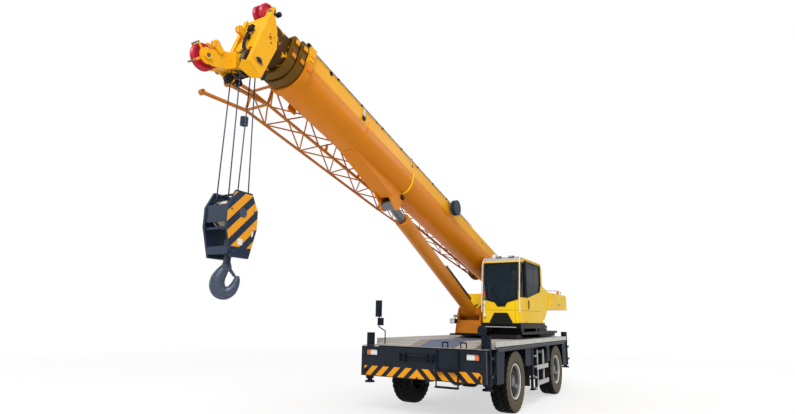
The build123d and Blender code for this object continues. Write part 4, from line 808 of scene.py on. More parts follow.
def rim_parts(centre, s):
    """Rim profile turned about the axle: lip, drop centre and dished disc with a domed hub, seen from outside."""
    axis, across = np.array(s * LEFT, float), np.array((1.0, 0, 0))
    # distance outwards from the middle of the tyre, radius
    shell = ((0.166, 0.345), (0.166, 0.332), (0.158, 0.322), (0.140, 0.318), (0.128, 0.300), (0.060, 0.288),
             (0.040, 0.276), (0.026, 0.262), (0.024, 0.200), (0.026, 0.150), (0.026, 0.130), (0.052, 0.127),
             (0.092, 0.124), (0.104, 0.118), (0.112, 0.108), (0.118, 0.070), (0.120, 0.0), (0.004, 0.0),
             (0.004, 0.262), (0.020, 0.296), (-0.140, 0.312), (-0.158, 0.325), (-0.166, 0.345), (-0.156, 0.350),
             (-0.130, 0.335), (0.120, 0.335), (0.150, 0.350))
    parts = [lathe(shell, centre, axis, across, 72, closed=True)]
    # raised rings round the hand holes; no holes are cut, the dish's painted shade stands dark inside them
    for hole in ring_of(centre + axis * 0.024, axis, 0.222, 8, 0.39):
        lip = ((0, 0.033), (0.006, 0.032), (0.006, 0.025), (0, 0.025))
        parts.append(lathe(lip, hole, axis, across, 20, closed=True))
    return parts


# centres of the head's sheaves, as u and w in boom millimetres
NOSE_PIN = np.array((11060, -810))
TOP_PIN = np.array((10500, 415))


class CRANE_OT_sheaves(bpy.types.Operator):
    """Turns the head's sheaves with their rope grooves."""

    bl_idname = "crane.sheaves"
    bl_label = "Turn the sheaves"

    def execute(self, context):
        half = 0.026
        # name, finish, centre, radius, y of each
        groups = (
            ("nose_sheave", "sheave_nylon", NOSE_PIN, 0.160, (0,)),
            ("top_sheaves", "sheave_nylon", TOP_PIN, 0.1279, (-60, 60)),
            # the main sheaves' dark brown is painted shade for the head's shaded lower front
            ("main_sheaves", "cast_steel", (10521, -470), 0.160, (-120, 0, 120)),
        )
        for name, finish, (u, w), radius, places in groups:
            profile = ((-half, 0.0), (-half, 0.042), (-half * 0.5, 0.05), (-half * 0.4, radius * 0.72),
                       (-half, radius * 0.80), (-half, radius - 0.003), (-half + 0.004, radius),
                       (-0.008, radius - 0.020), (0, radius - 0.024), (0.008, radius - 0.020),
                       (half - 0.004, radius), (half, radius - 0.003), (half, radius * 0.80),
                       (half * 0.4, radius * 0.72), (half * 0.5, 0.05), (half, 0.042), (half, 0.0))
            parts = [lathe(profile, boom_at(u, y, w), LEFT, UP, 56) for y in places]
            obj = piece(name, parts, finish, "head_section")
            if name == "nose_sheave":
                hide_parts("head_sheaves")
        return {"FINISHED"}


class CRANE_OT_ropes(bpy.types.Operator):
    """Hangs the four falls between the head's main sheaves and the hook block, and winds rope on the winch drums."""

    bl_idname = "crane.ropes"
    bl_label = "Hang the hoist ropes"

    def execute(self, context):
        radius = context.scene.crane_ropes.diameter / 2
        low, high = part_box("hook_block")
        sheave_z = high[2] - 0.25
        parts = []
        # x and y beside the pin at the head, y at the block
        for x, y_top, y_low in ((0.15, 0.112, 0.1), (0.15, -0.04, -0.1), (-0.15, -0.04, -0.1), (-0.15, 0.04, 0.1)):
            start = (MAIN_PIN[0] + x, y_top, MAIN_PIN[2])
            end = (MAIN_PIN[0] + x, y_low, sheave_z)
            parts.append(tube(start, end, radius, 12))
        points, faces = join_parts(parts)
        ropes = new_object("hoist_ropes", points, faces, MATERIALS["rope"])
        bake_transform(ropes)
        # rope turns on both winch drums
        turns = []
        for x, z in ((-2.48, 2.13), (-2.80, 2.44)):
            y = np.linspace(-0.24, 0.26, 31)
            profile = np.column_stack([np.repeat(y, 2)[1:-1], np.tile([0.128, 0.136], 30)])
            turns.append(lathe(np.vstack([[(-0.24, 0.0)], profile, [(0.26, 0.0)]]), (x, 0, z), LEFT, X, 40))
        piece("drum_rope", turns, "rope", "superstructure")
        return {"FINISHED"}


# the jib's three frames: u, y of the middle, half width, w of the lower and of the upper chords
JIB_ROOT = (9700, -605, 220, -385, -40)
JIB_JOINT = (6100, -560, 175, -257, 40)
JIB_TIP = (1900, -430, 60, -110, 0)
# eyes at its root: side and level of the chord that each ends, and the eye's place
JIB_EYES = ((1, 0, (10380, -420, -540)), (-1, 0, (10330, -1000, -490)), (1, 1, (10250, -430, -60)),
            (-1, 1, (10240, -960, -60)))


def jib_corner(start, end, part, left, top):
    """Corner of the lattice at part of the way between two of its frames, in boom millimetres."""
    u, y, half, low, high = (a + (b - a) * part for a, b in zip(start, end))
    return boom_at(u, y + left * half, high if top else low)


class CRANE_OT_jib(bpy.types.Operator):
    """Welds the stowed lattice jib from round tubes, with its fork, head and hangers."""

    bl_idname = "crane.jib"
    bl_label = "Weld the jib"

    def execute(self, context):
        bars = []
        for start, end, bays, chord, lace in ((JIB_ROOT, JIB_JOINT, 9, 46, 24), (JIB_JOINT, JIB_TIP, 8, 36, 19)):
            for left in (1, -1):
                for top in (1, 0):
                    bars.append(tube(jib_corner(start, end, 0, left, top), jib_corner(start, end, 1, left, top),
                                     chord * MM / 2, 14))
            for bay in range(bays):
                near, far = (bay / bays, (bay + 1) / bays)[::-1 if bay % 2 else 1]
                for left in (1, -1):
                    bars.append(tube(jib_corner(start, end, near, left, 1), jib_corner(start, end, far, left, 0),
                                     lace * MM / 2, 10))
                for top in (1, 0):
                    bars.append(tube(jib_corner(start, end, near, 1, top), jib_corner(start, end, far, -1, top),
                                     lace * MM / 2, 10))
        for end in (JIB_ROOT, JIB_JOINT, JIB_TIP):
            for left in (1, -1):
                bars.append(tube(jib_corner(end, end, 0, left, 1), jib_corner(end, end, 0, left, 0), 0.021, 12))
            for top in (1, 0):
                bars.append(tube(jib_corner(end, end, 0, 1, top), jib_corner(end, end, 0, -1, top), 0.021, 12))
        for left, top, (u, y, w) in JIB_EYES:
            eye = boom_at(u, y, w)
            bars.append(tube(jib_corner(JIB_ROOT, JIB_ROOT, 0, left, top), eye, 0.028, 14))
            wall = ((-0.028, 0.043), (0.028, 0.043), (0.028, 0.024), (-0.028, 0.024))
            bars.append(lathe(wall, eye, LEFT, UP, 28, closed=True))
        lattice = piece("jib_lattice", bars, "jib_enamel", "boom")
        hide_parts("jib")
        # hangers, the stowage arm under the boom, and the jib's head at its thin end
        plates = []
        for u, w in ((9300, -35), (6150, 30)):
            plates.append(prism(rect(u - 45, w - 25, u + 45, w + 25), BOOM, -405, -309))
            hanger = [(u - 90, -250), (u + 90, -250), (u + 60, w + 70), (u - 60, w + 70)]
            plates.append(prism(rounded(hanger, 30), BOOM, -335, -323))
        for y in (-300, -262):
            plates.append(prism(rounded([(6080, -300), (6420, -300), (6330, -395), (6110, -440), (6010, -400)], 40),
                                BOOM, y, y + 16))
        plates.append(tube(boom_at(6120, -320, -385), boom_at(6120, -240, -385), 0.03, 20))
        for u in (7400, 8350):
            plates.append(prism(rounded([(u - 30, -330), (u + 30, -330), (u + 22, -200), (u - 22, -200)], 12), BOOM,
                                -372, -358))
        piece("jib_hangers", plates, "boom_enamel", "boom", bevel=0.003)
        cheek = rounded([(2010, 40), (1650, 10), (1520, -60), (1560, -150), (1780, -170), (2010, -150)], 60)
        head = [prism(cheek, BOOM, y, y + 14) for y in (-490, -384)]
        wheel = ((-0.02, 0.0), (-0.02, 0.1), (-0.006, 0.088), (0.006, 0.088), (0.02, 0.1), (0.02, 0.0))
        head.append(lathe(wheel, boom_at(1640, -430, -70), LEFT, UP, 36))
        piece("jib_head", head, "jib_head_paint", "boom", bevel=0.002)
        # pendant rope kept on the jib's upper left chord
        line = [jib_corner(JIB_ROOT, JIB_JOINT, part, 1, 1) + 0.034 * UP for part in np.linspace(0.02, 0.98, 12)]
        piece("jib_pendant", [swept(line, 0.009, 8, 4)], "rope", "boom")
        return {"FINISHED"}


class CRANE_OT_hook(bpy.types.Operator):
    """Forges the swivel hook with its latch, and trims the hook block."""

    bl_idname = "crane.hook"
    bl_label = "Forge the hook"

    def execute(self, context):
        x0 = MAIN_PIN[0]
        turn = math.radians(45)
        across = np.array((-math.sin(turn), math.cos(turn), 0.0))

        def at(a, z):
            """Point of the hook's own plane: a across it and z up."""
            return np.array((x0, 0, z)) + a * across

        spine = [at(0, 2.50), at(0, 2.42), at(-0.010, 2.350), at(-0.045, 2.285), at(-0.080, 2.212), at(-0.086, 2.135),
                 at(-0.052, 2.072), at(0.010, 2.052), at(0.068, 2.078), at(0.104, 2.135), at(0.122, 2.195),
                 at(0.126, 2.245)]
        girth = [0.030, 0.030, 0.036, 0.048, 0.058, 0.062, 0.062, 0.056, 0.046, 0.037, 0.028, 0.018]
        normal = np.cross(across, Z)
        parts = [swept(spine, girth, 24, 8, flat=1.38, across=normal)]
        shank = ((-0.10, 0.0), (-0.10, 0.05), (-0.07, 0.06), (-0.03, 0.052), (0.0, 0.042), (0.04, 0.040),
                 (0.19, 0.040), (0.1903, 0.062), (0.25, 0.062), (0.25, 0.0))
        parts.append(lathe(shank, (x0, 0, 2.40), Z, X, 40))
        hook = piece("forged_hook", parts, "forged", "hook", sharp=50)
        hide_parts("hook")
        latch = [swept([at(0.022, 2.335), at(0.052, 2.300), at(0.098, 2.240)], [0.026, 0.020, 0.016], 12, 5)]
        latch.append(tube(at(0.022, 2.338) - 0.045 * normal, at(0.022, 2.338) + 0.045 * normal, 0.014, 12))
        piece("hook_latch", latch, "forged", "hook")

        # cheeks' top and bottom, their outer faces' distance from the middle, and the height of the sheaves' axle
        top, bottom, cheek, axle = 3.21, 2.44, 0.2, 2.96
        trims, labels, steel = [], [], []
        for s in (1, -1):
            # plates that close the windows between the cheeks, front and rear
            for low, high, inset in ((2.835, 3.035, 0.205), (2.475, 2.565, 0.150)):
                trims.append(box((x0 + s * inset - 0.008, -0.176, low), (x0 + s * inset + 0.008, 0.176, high)))
            trims.append(tube((x0 + s * 0.19, -0.176, 2.765), (x0 + s * 0.19, 0.176, 2.765), 0.017, 14))
            trims.append(tube((x0 + s * 0.085, -0.176, 3.17), (x0 + s * 0.085, 0.176, 3.17), 0.014, 14))
            # lip round each cheek's edge
            edge = np.array([(x0 - 0.12, top), (x0 + 0.12, top), (x0 + 0.225, top - 0.2), (x0 + 0.225, top - 0.42),
                             (x0 + 0.13, bottom), (x0 - 0.13, bottom), (x0 - 0.225, top - 0.42),
                             (x0 - 0.225, top - 0.2)])
            middle = edge.mean(axis=0)
            inner = middle + (edge - middle) * 0.93
            trims.append(frame_plate(edge, inner, SIDE, s * 0.176, s * 0.166))
            steel += bolts([(x0 + a, s * cheek, b) for a, b in
                            ((-0.17, 3.0), (0.17, 2.98), (-0.17, 2.78), (0.14, 2.67), (-0.12, 2.62), (0.1, 2.5))],
                           s * LEFT, 0.012, 0.008)
            cap = ((0, 0), (0, 0.062), (0.012, 0.056), (0.014, 0.0))
            steel.append(lathe(cap, (x0, s * 0.19, axle), s * LEFT, X, 28))
            slant = [(x0 - 0.165, 2.70), (x0 - 0.145, 2.70), (x0 - 0.165, 2.80), (x0 - 0.185, 2.80)]
            for tag in (rect(x0 - 0.02, 2.585, x0 + 0.05, 2.655), slant):
                labels.append(prism(tag, SIDE, s * cheek, s * (cheek + 0.0015)))
        piece("block_plates", trims, "block_paint", "hook_block", bevel=0.002)
        piece("block_bolts", steel, "forged", "hook_block")
        piece("block_blank_tags", labels, "white_vinyl", "hook_block")
        # rope round the block's two sheaves
        loops = []
        for y in np.linspace(-0.144, 0.144, 17):
            strand = ((-0.009, 0.156), (0, 0.166), (0.009, 0.156), (0, 0.148))
            loops.append(lathe(strand, (x0, y, axle), LEFT, X, 48, closed=True))
        piece("block_rope_loops", loops, "pale_rope", "hook_block", sharp=80)
        return {"FINISHED"}


CAB_FRONT = 1.255


def screen_x(z):
    """The cab's front wall at height z: upright to 2.305 m, then leaning back 105 mm in 800."""
    return CAB_FRONT - max(0.0, z - 2.305) * 0.105 / 0.8


class CRANE_OT_cab(bpy.types.Operator):
    """Fits the cab's seals, strips, grille, lamp stack, wiper, rails, roof guard and mirror."""

    bl_idname = "crane.cab"
    bl_label = "Trim the cab"

    def execute(self, context):
        body = "superstructure"
        black, white, silver, yellow = [], [], [], []
        # black surround of the windscreen, leaning with the glass
        inner = np.array([(0.418, 2.305), (0.68, 2.235), (0.735, 2.145), (0.87, 2.145), (0.925, 2.235),
                          (1.155, 2.30), (1.155, 3.085), (0.418, 3.085)])
        outer = np.array([(0.380, 2.268), (0.657, 2.196), (0.714, 2.104), (0.891, 2.104), (0.948, 2.196),
                          (1.195, 2.264), (1.195, 3.098), (0.380, 3.098)])
        points, faces = frame_plate(outer, inner, FRONT, 0.0, 0.007)
        points[:, 0] += np.array([screen_x(z) for z in points[:, 2]])
        black.append((points, faces))
        # grille below it, as a plate with rounded corners and six ribs
        grille = rounded([(0.52, 1.758), (1.065, 1.758), (0.945, 1.975), (0.64, 1.975)], 0.03)
        black.append(prism(grille, FRONT, CAB_FRONT, 1.262))
        for k in range(6):
            z = 1.785 + 0.031 * k
            lean = 0.115 * (z - 1.758) / 0.217
            black.append(prism(rect(0.55 + lean, z, 1.035 - lean, z + 0.012), FRONT, 1.262, 1.268))
        # side glass: surround of the fixed pane, and the yellow panel below it
        side_outer = [(0.818, 2.318), (1.238, 2.318), (1.140, 3.098), (0.818, 3.098)]
        side_inner = rect(0.852, 2.336, 1.048, 3.088)
        black.append(frame_plate(side_outer, side_inner, SIDE, 1.205, 1.243))
        corner = prism(rect(0.822, 1.762, 1.252, 2.312), SIDE, 1.205, 1.2435)
        piece("cab_corner_panel", [corner], "cab_enamel", body, bevel=0.008)
        # wiper: arm and blade
        black.append(tube((1.267, 0.80, 2.17), (1.238, 0.61, 2.50), 0.008, 8))
        black.append(tube((1.250, 0.56, 2.38), (1.228, 0.66, 2.62), 0.006, 8))
        # seams of the front and side panels
        black.append(box((1.2545, 0.372, 2.030), (1.2562, 1.205, 2.035)))
        black.append(box((0.83, 1.2434, 2.030), (1.245, 1.2446, 2.035)))
        black.append(box((1.2545, 1.120, 1.758), (1.2562, 1.124, 2.26)))
        # white handrails up both front corners, on stand-offs
        for y, inboard in ((0.356, 0.385), (1.232, 1.19)):
            rail = [(screen_x(z) + 0.026, y, z) for z in (2.02, 2.16, 2.305, 2.55, 2.80, 3.05)]
            rail = [(1.262, y, 1.99)] + rail + [(1.13, (y + inboard) / 2, 3.17), (1.02, inboard, 3.228)]
            white.append(swept(rail, 0.0115, 12, 4))
            for z in (2.10, 2.70):
                white.append(tube((screen_x(z) - 0.002, y, z), (screen_x(z) + 0.026, y, z), 0.007, 10))
        # lamp stack on its own post
        post = (1.300, 0.430)
        white.append(tube((*post, 1.93), (*post, 2.30), 0.011, 14))
        foot = ((0, 0), (0, 0.032), (0.02, 0.036), (0.05, 0.022), (0.055, 0.0))
        white.append(lathe(foot, (*post, 1.885), Z, X, 28))
        white.append(tube((1.254, post[1], 1.905), (*post, 1.905), 0.010, 12))
        white.append(tube((*post, 2.165), (*post, 2.235), 0.027, 24))
        stack = (("green_lamp", "lamp_green", 2.455, 2.585), ("red_lamp", "lamp_red", 2.365, 2.45),
                 ("amber_lamp", "lamp_amber", 2.305, 2.36), ("teal_lamp", "lamp_teal", 2.24, 2.30))
        for name, finish, low, high in stack:
            half = (high - low) / 2
            shape = ((-half, 0), (-half, 0.026), (-half + 0.006, 0.029), (half - 0.006, 0.029), (half, 0.025),
                     (half + 0.003, 0.0))
            piece(name, [lathe(shape, (*post, low + half), Z, X, 28)], finish, body)
        # roof: guard of grey bars, a white dome and three work lamps
        for y in np.linspace(0.46, 1.12, 12):
            silver.append(tube((0.22, y, 3.247), (0.93, y, 3.247), 0.0065, 8))
        for x in (0.23, 0.575, 0.92):
            silver.append(box((x - 0.012, 0.44, 3.224), (x + 0.012, 1.14, 3.242)))
        white.append(lathe(((0, 0), (0, 0.052), (0.050, 0.052), (0.075, 0.043), (0.090, 0.022), (0.095, 0.0)),
                           (0.95, 0.56, 3.222), Z, X, 28))
        for x, y in ((0.98, 0.68), (0.98, 0.98), (-0.55, 1.05)):
            black.append(box((x - 0.045, y - 0.055, 3.226), (x + 0.035, y + 0.055, 3.262)))
            silver.append(box((x + 0.035, y - 0.045, 3.232), (x + 0.039, y + 0.045, 3.256)))
        # gutter along the roof's left edge, and the handrail before the sill
        yellow.append(box((-0.62, 1.190, 3.196), (0.96, 1.212, 3.213)))
        grab = ((1.262, 0.43), (1.288, 0.44), (1.288, 0.60), (1.288, 1.0), (1.288, 1.12), (1.262, 1.13))
        silver.append(swept([(x, y, 1.665) for x, y in grab], 0.010, 12, 6))
        # mirror on an arm at the left front corner
        black.append(tube((1.20, 1.195, 2.74), (1.20, 1.285, 2.76), 0.007, 10))
        black.append(prism(rounded(rect(1.235, 2.64, 1.290, 2.86), 0.02), FRONT, 1.190, 1.210))
        piece("cab_black_trim", black, "plastic", body)
        piece("cab_white_rails", white, "white_enamel", body)
        piece("cab_silver_bars", silver, "silver_paint", body)
        piece("cab_gutter", yellow, "cab_enamel", body, bevel=0.003)
        # door, from its outer face outwards: surround of its window, handle's recess, handle and pane's bar
        door, face = [], 1.2505
        window = np.array([(0.760, 2.345), (-0.290, 2.525), (-0.390, 2.680), (-0.390, 3.120), (0.760, 3.120)])
        around = np.array([(0.800, 2.306), (-0.308, 2.496), (-0.424, 2.668), (-0.424, 3.148), (0.800, 3.148)])
        door.append(frame_plate(around, window, SIDE, face, 1.2545))
        door.append(prism(rounded(rect(0.660, 2.055, 0.705, 2.275), 0.021), SIDE, face, 1.2550))
        grip = ((1.254, 2.085), (1.272, 2.10), (1.272, 2.23), (1.254, 2.245))
        door.append(swept([(0.683, y, z) for y, z in grip], 0.006, 10, 5))
        door.append(box((0.16, face, 2.56), (0.172, 1.2525, 3.11)))
        piece("door_black_trim", door, "plastic", "cab_door")
        line = [box((-0.46, face, 2.028), (0.80, 1.2520, 2.033)), box((0.640, face, 1.80), (0.645, 1.2520, 2.028))]
        piece("door_seams", line, "seam_shadow", "cab_door")
        return {"FINISHED"}


def cushion(name, low, high, body, pressure_cap):
    """Pad that starts as a rounded box between low and high, is blown up as cloth and eased with a subdivision."""
    low, high = np.asarray(low, float), np.asarray(high, float)
    middle, half = (low + high) / 2, (high - low) / 2 - 0.010
    # superellipsoid: point = middle + half (cos^e v cos^e u, cos^e v sin^e u, sin^e v), e = 0.35
    u, v = np.meshgrid(np.linspace(-np.pi, np.pi, 48, endpoint=False), np.linspace(-np.pi / 2, np.pi / 2, 25))
    cosv, sinv, cosu, sinu = (np.sign(t) * np.abs(t) ** 0.35 for t in (np.cos(v), np.sin(v), np.cos(u), np.sin(u)))
    shell = np.stack([cosv * cosu, cosv * sinu, sinv], -1)
    points = middle + half * shell.reshape(-1, 3)
    obj = new_object(name, points, grid_faces(25, 48, close_columns=True), MATERIALS["vinyl"])
    start = obj.modifiers.new("even", "REMESH")
    start.mode = "VOXEL"
    start.voxel_size = 0.009
    apply_modifiers(obj)
    before = np.empty(3 * len(obj.data.vertices))
    obj.data.vertices.foreach_get("co", before)
    cloth = obj.modifiers.new("blown", "CLOTH")
    cloth.settings.use_pressure = True
    cloth.settings.uniform_pressure_force = 4.0
    cloth.settings.effector_weights.gravity = 0.0
    for frame_number in range(1, 21):
        bpy.context.scene.frame_set(frame_number)
    apply_modifiers(obj)
    after = np.empty(3 * len(obj.data.vertices))
    obj.data.vertices.foreach_get("co", after)
    move = (after - before).reshape(-1, 3)
    length = np.linalg.norm(move, axis=1, keepdims=True)
    move *= np.minimum(1.0, pressure_cap / np.maximum(length, 1e-9))
    obj.data.vertices.foreach_set("co", (before.reshape(-1, 3) + move).ravel())
    obj.data.update()
    bpy.context.scene.frame_set(1)
    ease = obj.modifiers.new("ease", "SUBSURF")
    ease.levels = ease.render_levels = 1
    obj.data.shade_smooth()
    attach(obj, body)
    return obj


def apply_modifiers(obj):
    """Bakes an object's modifiers into its mesh."""
    graph = bpy.context.evaluated_depsgraph_get()
    mesh = bpy.data.meshes.new_from_object(obj.evaluated_get(graph))
    obj.modifiers.clear()
    old = obj.data
    obj.data = mesh
    bpy.data.meshes.remove(old)


class CRANE_OT_seat(bpy.types.Operator):
    """Upholsters the operator's seat: squab, back, headrest and arms on a pedestal."""

    bl_idname = "crane.seat"
    bl_label = "Upholster the seat"

    def execute(self, context):
        body = "superstructure"
        x, y = -0.12, 0.7865
        squab = cushion("seat_squab", (x - 0.24, y - 0.25, 2.085), (x + 0.24, y + 0.25, 2.205), body, 0.014)
        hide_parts("operator_seat")
        back = cushion("seat_back", (x - 0.06, y - 0.23, 0), (x + 0.06, y + 0.23, 0.66), body, 0.014)
        lean_back(back, (x - 0.20, y, 2.19), 0.13)
        cushion("seat_headrest", (x - 0.335, y - 0.13, 2.83), (x - 0.245, y + 0.13, 2.97), body, 0.01)
        arms = []
        for s in (1, -1):
            arms.append(box((x - 0.18, y + s * 0.29 - 0.035, 2.22), (x + 0.24, y + s * 0.29 + 0.035, 2.32)))
            arms.append(swept([(x + 0.17, y + s * 0.29, 2.31), (x + 0.17, y + s * 0.29, 2.36),
                               (x + 0.175, y + s * 0.29, 2.43)], [0.026, 0.012, 0.020], 14, 5))
            arms.append(box((x - 0.12, y + s * 0.29 - 0.03, 1.80), (x + 0.14, y + s * 0.29 + 0.03, 2.22)))
        arms.append(box((x - 0.17, y - 0.16, 1.80), (x + 0.17, y + 0.16, 2.085)))
        piece("seat_pedestal_and_arms", arms, "plastic", body, bevel=0.012)
        return {"FINISHED"}


def lean_back(obj, foot, lean):
    """Turns a cushion made upright on the floor back by lean radians about y, and stands it at foot."""
    points = np.empty(3 * len(obj.data.vertices))
    obj.data.vertices.foreach_get("co", points)
    points = points.reshape(-1, 3)
    middle = points.mean(axis=0)
    dx, dz = points[:, 0] - middle[0], points[:, 2]
    points[:, 0] = foot[0] + dx * math.cos(lean) - dz * math.sin(lean)
    points[:, 2] = foot[2] + dx * math.sin(lean) + dz * math.cos(lean)
    obj.data.vertices.foreach_set("co", points.ravel())
    obj.data.update()


class CRANE_OT_carrier(bpy.types.Operator):
    """Adds the carrier's deck plates, edge strips, lamps, bolts, hoses and ladder treads."""

    bl_idname = "crane.carrier"
    bl_label = "Trim the carrier"

    def execute(self, context):
        body = "carrier"
        pale, black, silver, paint, steel, deck = [], [], [], [], [], []
        # ends of the raised deck along x, and its edge's distance from the middle
        rear, front, edge, ring_gap = -2.64, 3.04, 1.302, 0.70
        for s in (1, -1):
            # raised deck plate on its aluminium flange, notched round the slewing ring
            pale.append(box((rear, s * edge, 1.315), (front, s * 1.309, 1.405)))
            notch = [(ring_gap * math.cos(a), s * ring_gap * math.sin(a)) for a in np.linspace(math.pi, 0, 25)]
            half = [(rear, 0.0)] + notch + [(front, 0.0), (front, s * edge), (rear, s * edge)]
            deck.append(prism(half, PLAN, 1.393, 1.4045))
            for x0, x1, drop in ((2.50, 2.98, 0.64), (0.70, 1.17, 0.86), (-0.84, -0.60, 0.86), (-2.60, -2.15, 0.66)):
                lean = 0.10 if x0 in (2.50, -2.60) else 0.0
                low = (x0 + lean, x1) if x0 > 0 else (x0, x1 - lean)
                skirt = [(low[0], drop), (low[1], drop), (x1, 1.315), (x0, 1.315)]
                paint.append(prism(skirt, SIDE, s * 1.281, s * 1.288))
            # dark side of the deck box under the flange
            paint.append(box((rear, s * 1.270, 1.283), (front, s * 1.300, 1.330)))
            # rubber flap behind each front wheel and ahead of each rear one
            for x in (0.85, -0.712):
                black.append(box((x, s * 0.92, 0.42), (x + 0.012, s * 1.27, 0.93)))
            deck.append(box((3.03, s * 1.062, 1.2855), (front, s * 1.3, 1.3925)))
            paint.append(box((rear, 0, 1.284), (-2.63, s * 1.3, 1.394)))
            # ladder treads: light studded plates on the rungs
            for z in (0.330, 0.560, 0.790, 1.020):
                silver.append(box((0.365, s * 1.255, z + 0.002), (0.485, s * 1.302, z + 0.028)))
            # thin hose looping down beside the front jack and along the frame
            paths = (((3.05, 1.262, 1.20), (3.00, 1.275, 1.05), (3.03, 1.28, 0.92), (3.10, 1.27, 0.80)),
                     ((2.99, 1.262, 1.21), (2.96, 1.272, 1.02), (2.985, 1.275, 0.86)))
            for path in paths:
                black.append(swept([(x, s * y2, z) for x, y2, z in path], 0.009, 10, 6))
            # clamp blocks of the jack posts, with four bolts each
            for end, x in (("front", 3.34 - 0.088 * s), ("rear", -2.75 - 0.088 * s)):
                name = "left" if s > 0 else "right"
                clamps = []
                for z in (1.10, 0.78):
                    clamps.append(box((x - 0.09, s * 1.296, z), (x + 0.09, s * 1.306, z + 0.05)))
                    clamps += bolts([(x - 0.07, s * 1.306, z + 0.025), (x + 0.07, s * 1.306, z + 0.025)], s * LEFT,
                                    0.011, 0.003)
                piece(f"{end}_{name}_clamps", clamps, "chassis_paint", f"{end}_{name}_outrigger",
                      bevel=0.002)
        piece("deck_edge_channels", pale, "pale_paint", body, bevel=0.002)
        # deck plates, and the ramp from the bumper up to the raised deck
        piece("deck_plates", deck, "chequer", body, bevel=0.002, sharp=30)
        ramp = [(3.548, 1.286), (3.00, 1.4045), (3.00, 1.286)]
        fields = ((-1.06, -0.275), (-0.269, -0.045), (-0.039, 0.68), (0.686, 1.06))
        piece("deck_ramp", [prism(ramp, SIDE, *field) for field in fields], "chequer", body,
              bevel=0.002)
        piece("ladder_treads", silver, "silver_paint", body, bevel=0.002)
        piece("skirt_panels", paint, "guard_paint", body, bevel=0.003)
        # head lamps: white reflector inboard, orange indicator outboard, in a dark bezel
        white, orange, red, bezel = [], [], [], []
        for s in (1, -1):
            middle = s * 1.065
            # reflector inboard and indicator outboard of the gap between them
            for lens, start, end in ((white, -0.118, 0.035), (orange, 0.042, 0.118)):
                lens.append(prism(rounded(rect(middle + s * start, 1.102, middle + s * end, 1.198), 0.012), FRONT,
                                  3.566, 3.585))
            outer = rect(middle - 0.150, 1.075, middle + 0.150, 1.225)
            inner = rect(middle - 0.124, 1.097, middle + 0.124, 1.203)
            bezel.append(frame_plate(outer, inner, FRONT, 3.590, 3.598))
            # tail lamps
            red.append(prism(rounded(rect(s * 0.78, 1.06, s * 1.02, 1.16), 0.012), FRONT, -3.040, -3.030))
        piece("headlamp_reflectors", white, "lens", body, bevel=0.003)
        piece("indicator_lenses", orange, "lamp_amber", body, bevel=0.003)
        piece("tail_lenses", red, "lamp_red", body, bevel=0.003)
        piece("lamp_bezels", bezel, "chassis_paint", body, bevel=0.002)
        # bumper: grab bar, hinge pins of the step, hooks under the ends, and deck lashing rings
        black.append(tube((3.625, -0.42, 1.07), (3.625, 0.12, 1.07), 0.014, 14))
        for y in (-0.42, 0.12):
            black.append(tube((3.588, y, 1.07), (3.625, y, 1.07), 0.016, 14))
        for s in (1, -1):
            hook = [(x, s * 1.20, z) for x, z in
                    ((3.60, 0.83), (3.64, 0.80), (3.655, 0.755), (3.625, 0.722), (3.60, 0.742))]
            black.append(swept(hook, [0.02, 0.02, 0.018, 0.015, 0.01], 12, 6))
        ring_path = [(3.60 + 0.045 * math.cos(a), 0.230, 1.09 + 0.045 * math.sin(a)) for a in np.linspace(0, 6.1, 14)]
        black.append(swept(ring_path, 0.009, 10, 4))
        piece("bumper_bars_and_hoses", black, "plastic", body)
        for y in (-0.9, -0.3, 0.3, 0.9):
            steel += bolts([(3.45, y, 1.285), (3.05, y, 1.285), (-2.7, y, 1.285)], Z, 0.014, 0.008)
        steel += bolts([(2.80, s * 1.2801, z) for s in (1, -1) for z in (0.95, 1.15)], LEFT, 0.012, 0.004)
        steel += bolts(ring_of((0, 0, 1.4351), Z, 0.602, 40), Z, 0.014, 0.016)
        piece("carrier_bolts", steel, "steel", body)
        # tank straps on both sides
        straps = []
        for s in (1, -1):
            for x in (-0.25, 0.10):
                straps.append(frame_plate(rect(x, 0.552, x + 0.04, 1.158), rect(x + 0.004, 0.56, x + 0.036, 1.15),
                                          SIDE, s * 1.112, s * 1.118))
        piece("tank_straps", straps, "silver_paint", body)
        return {"FINISHED"}


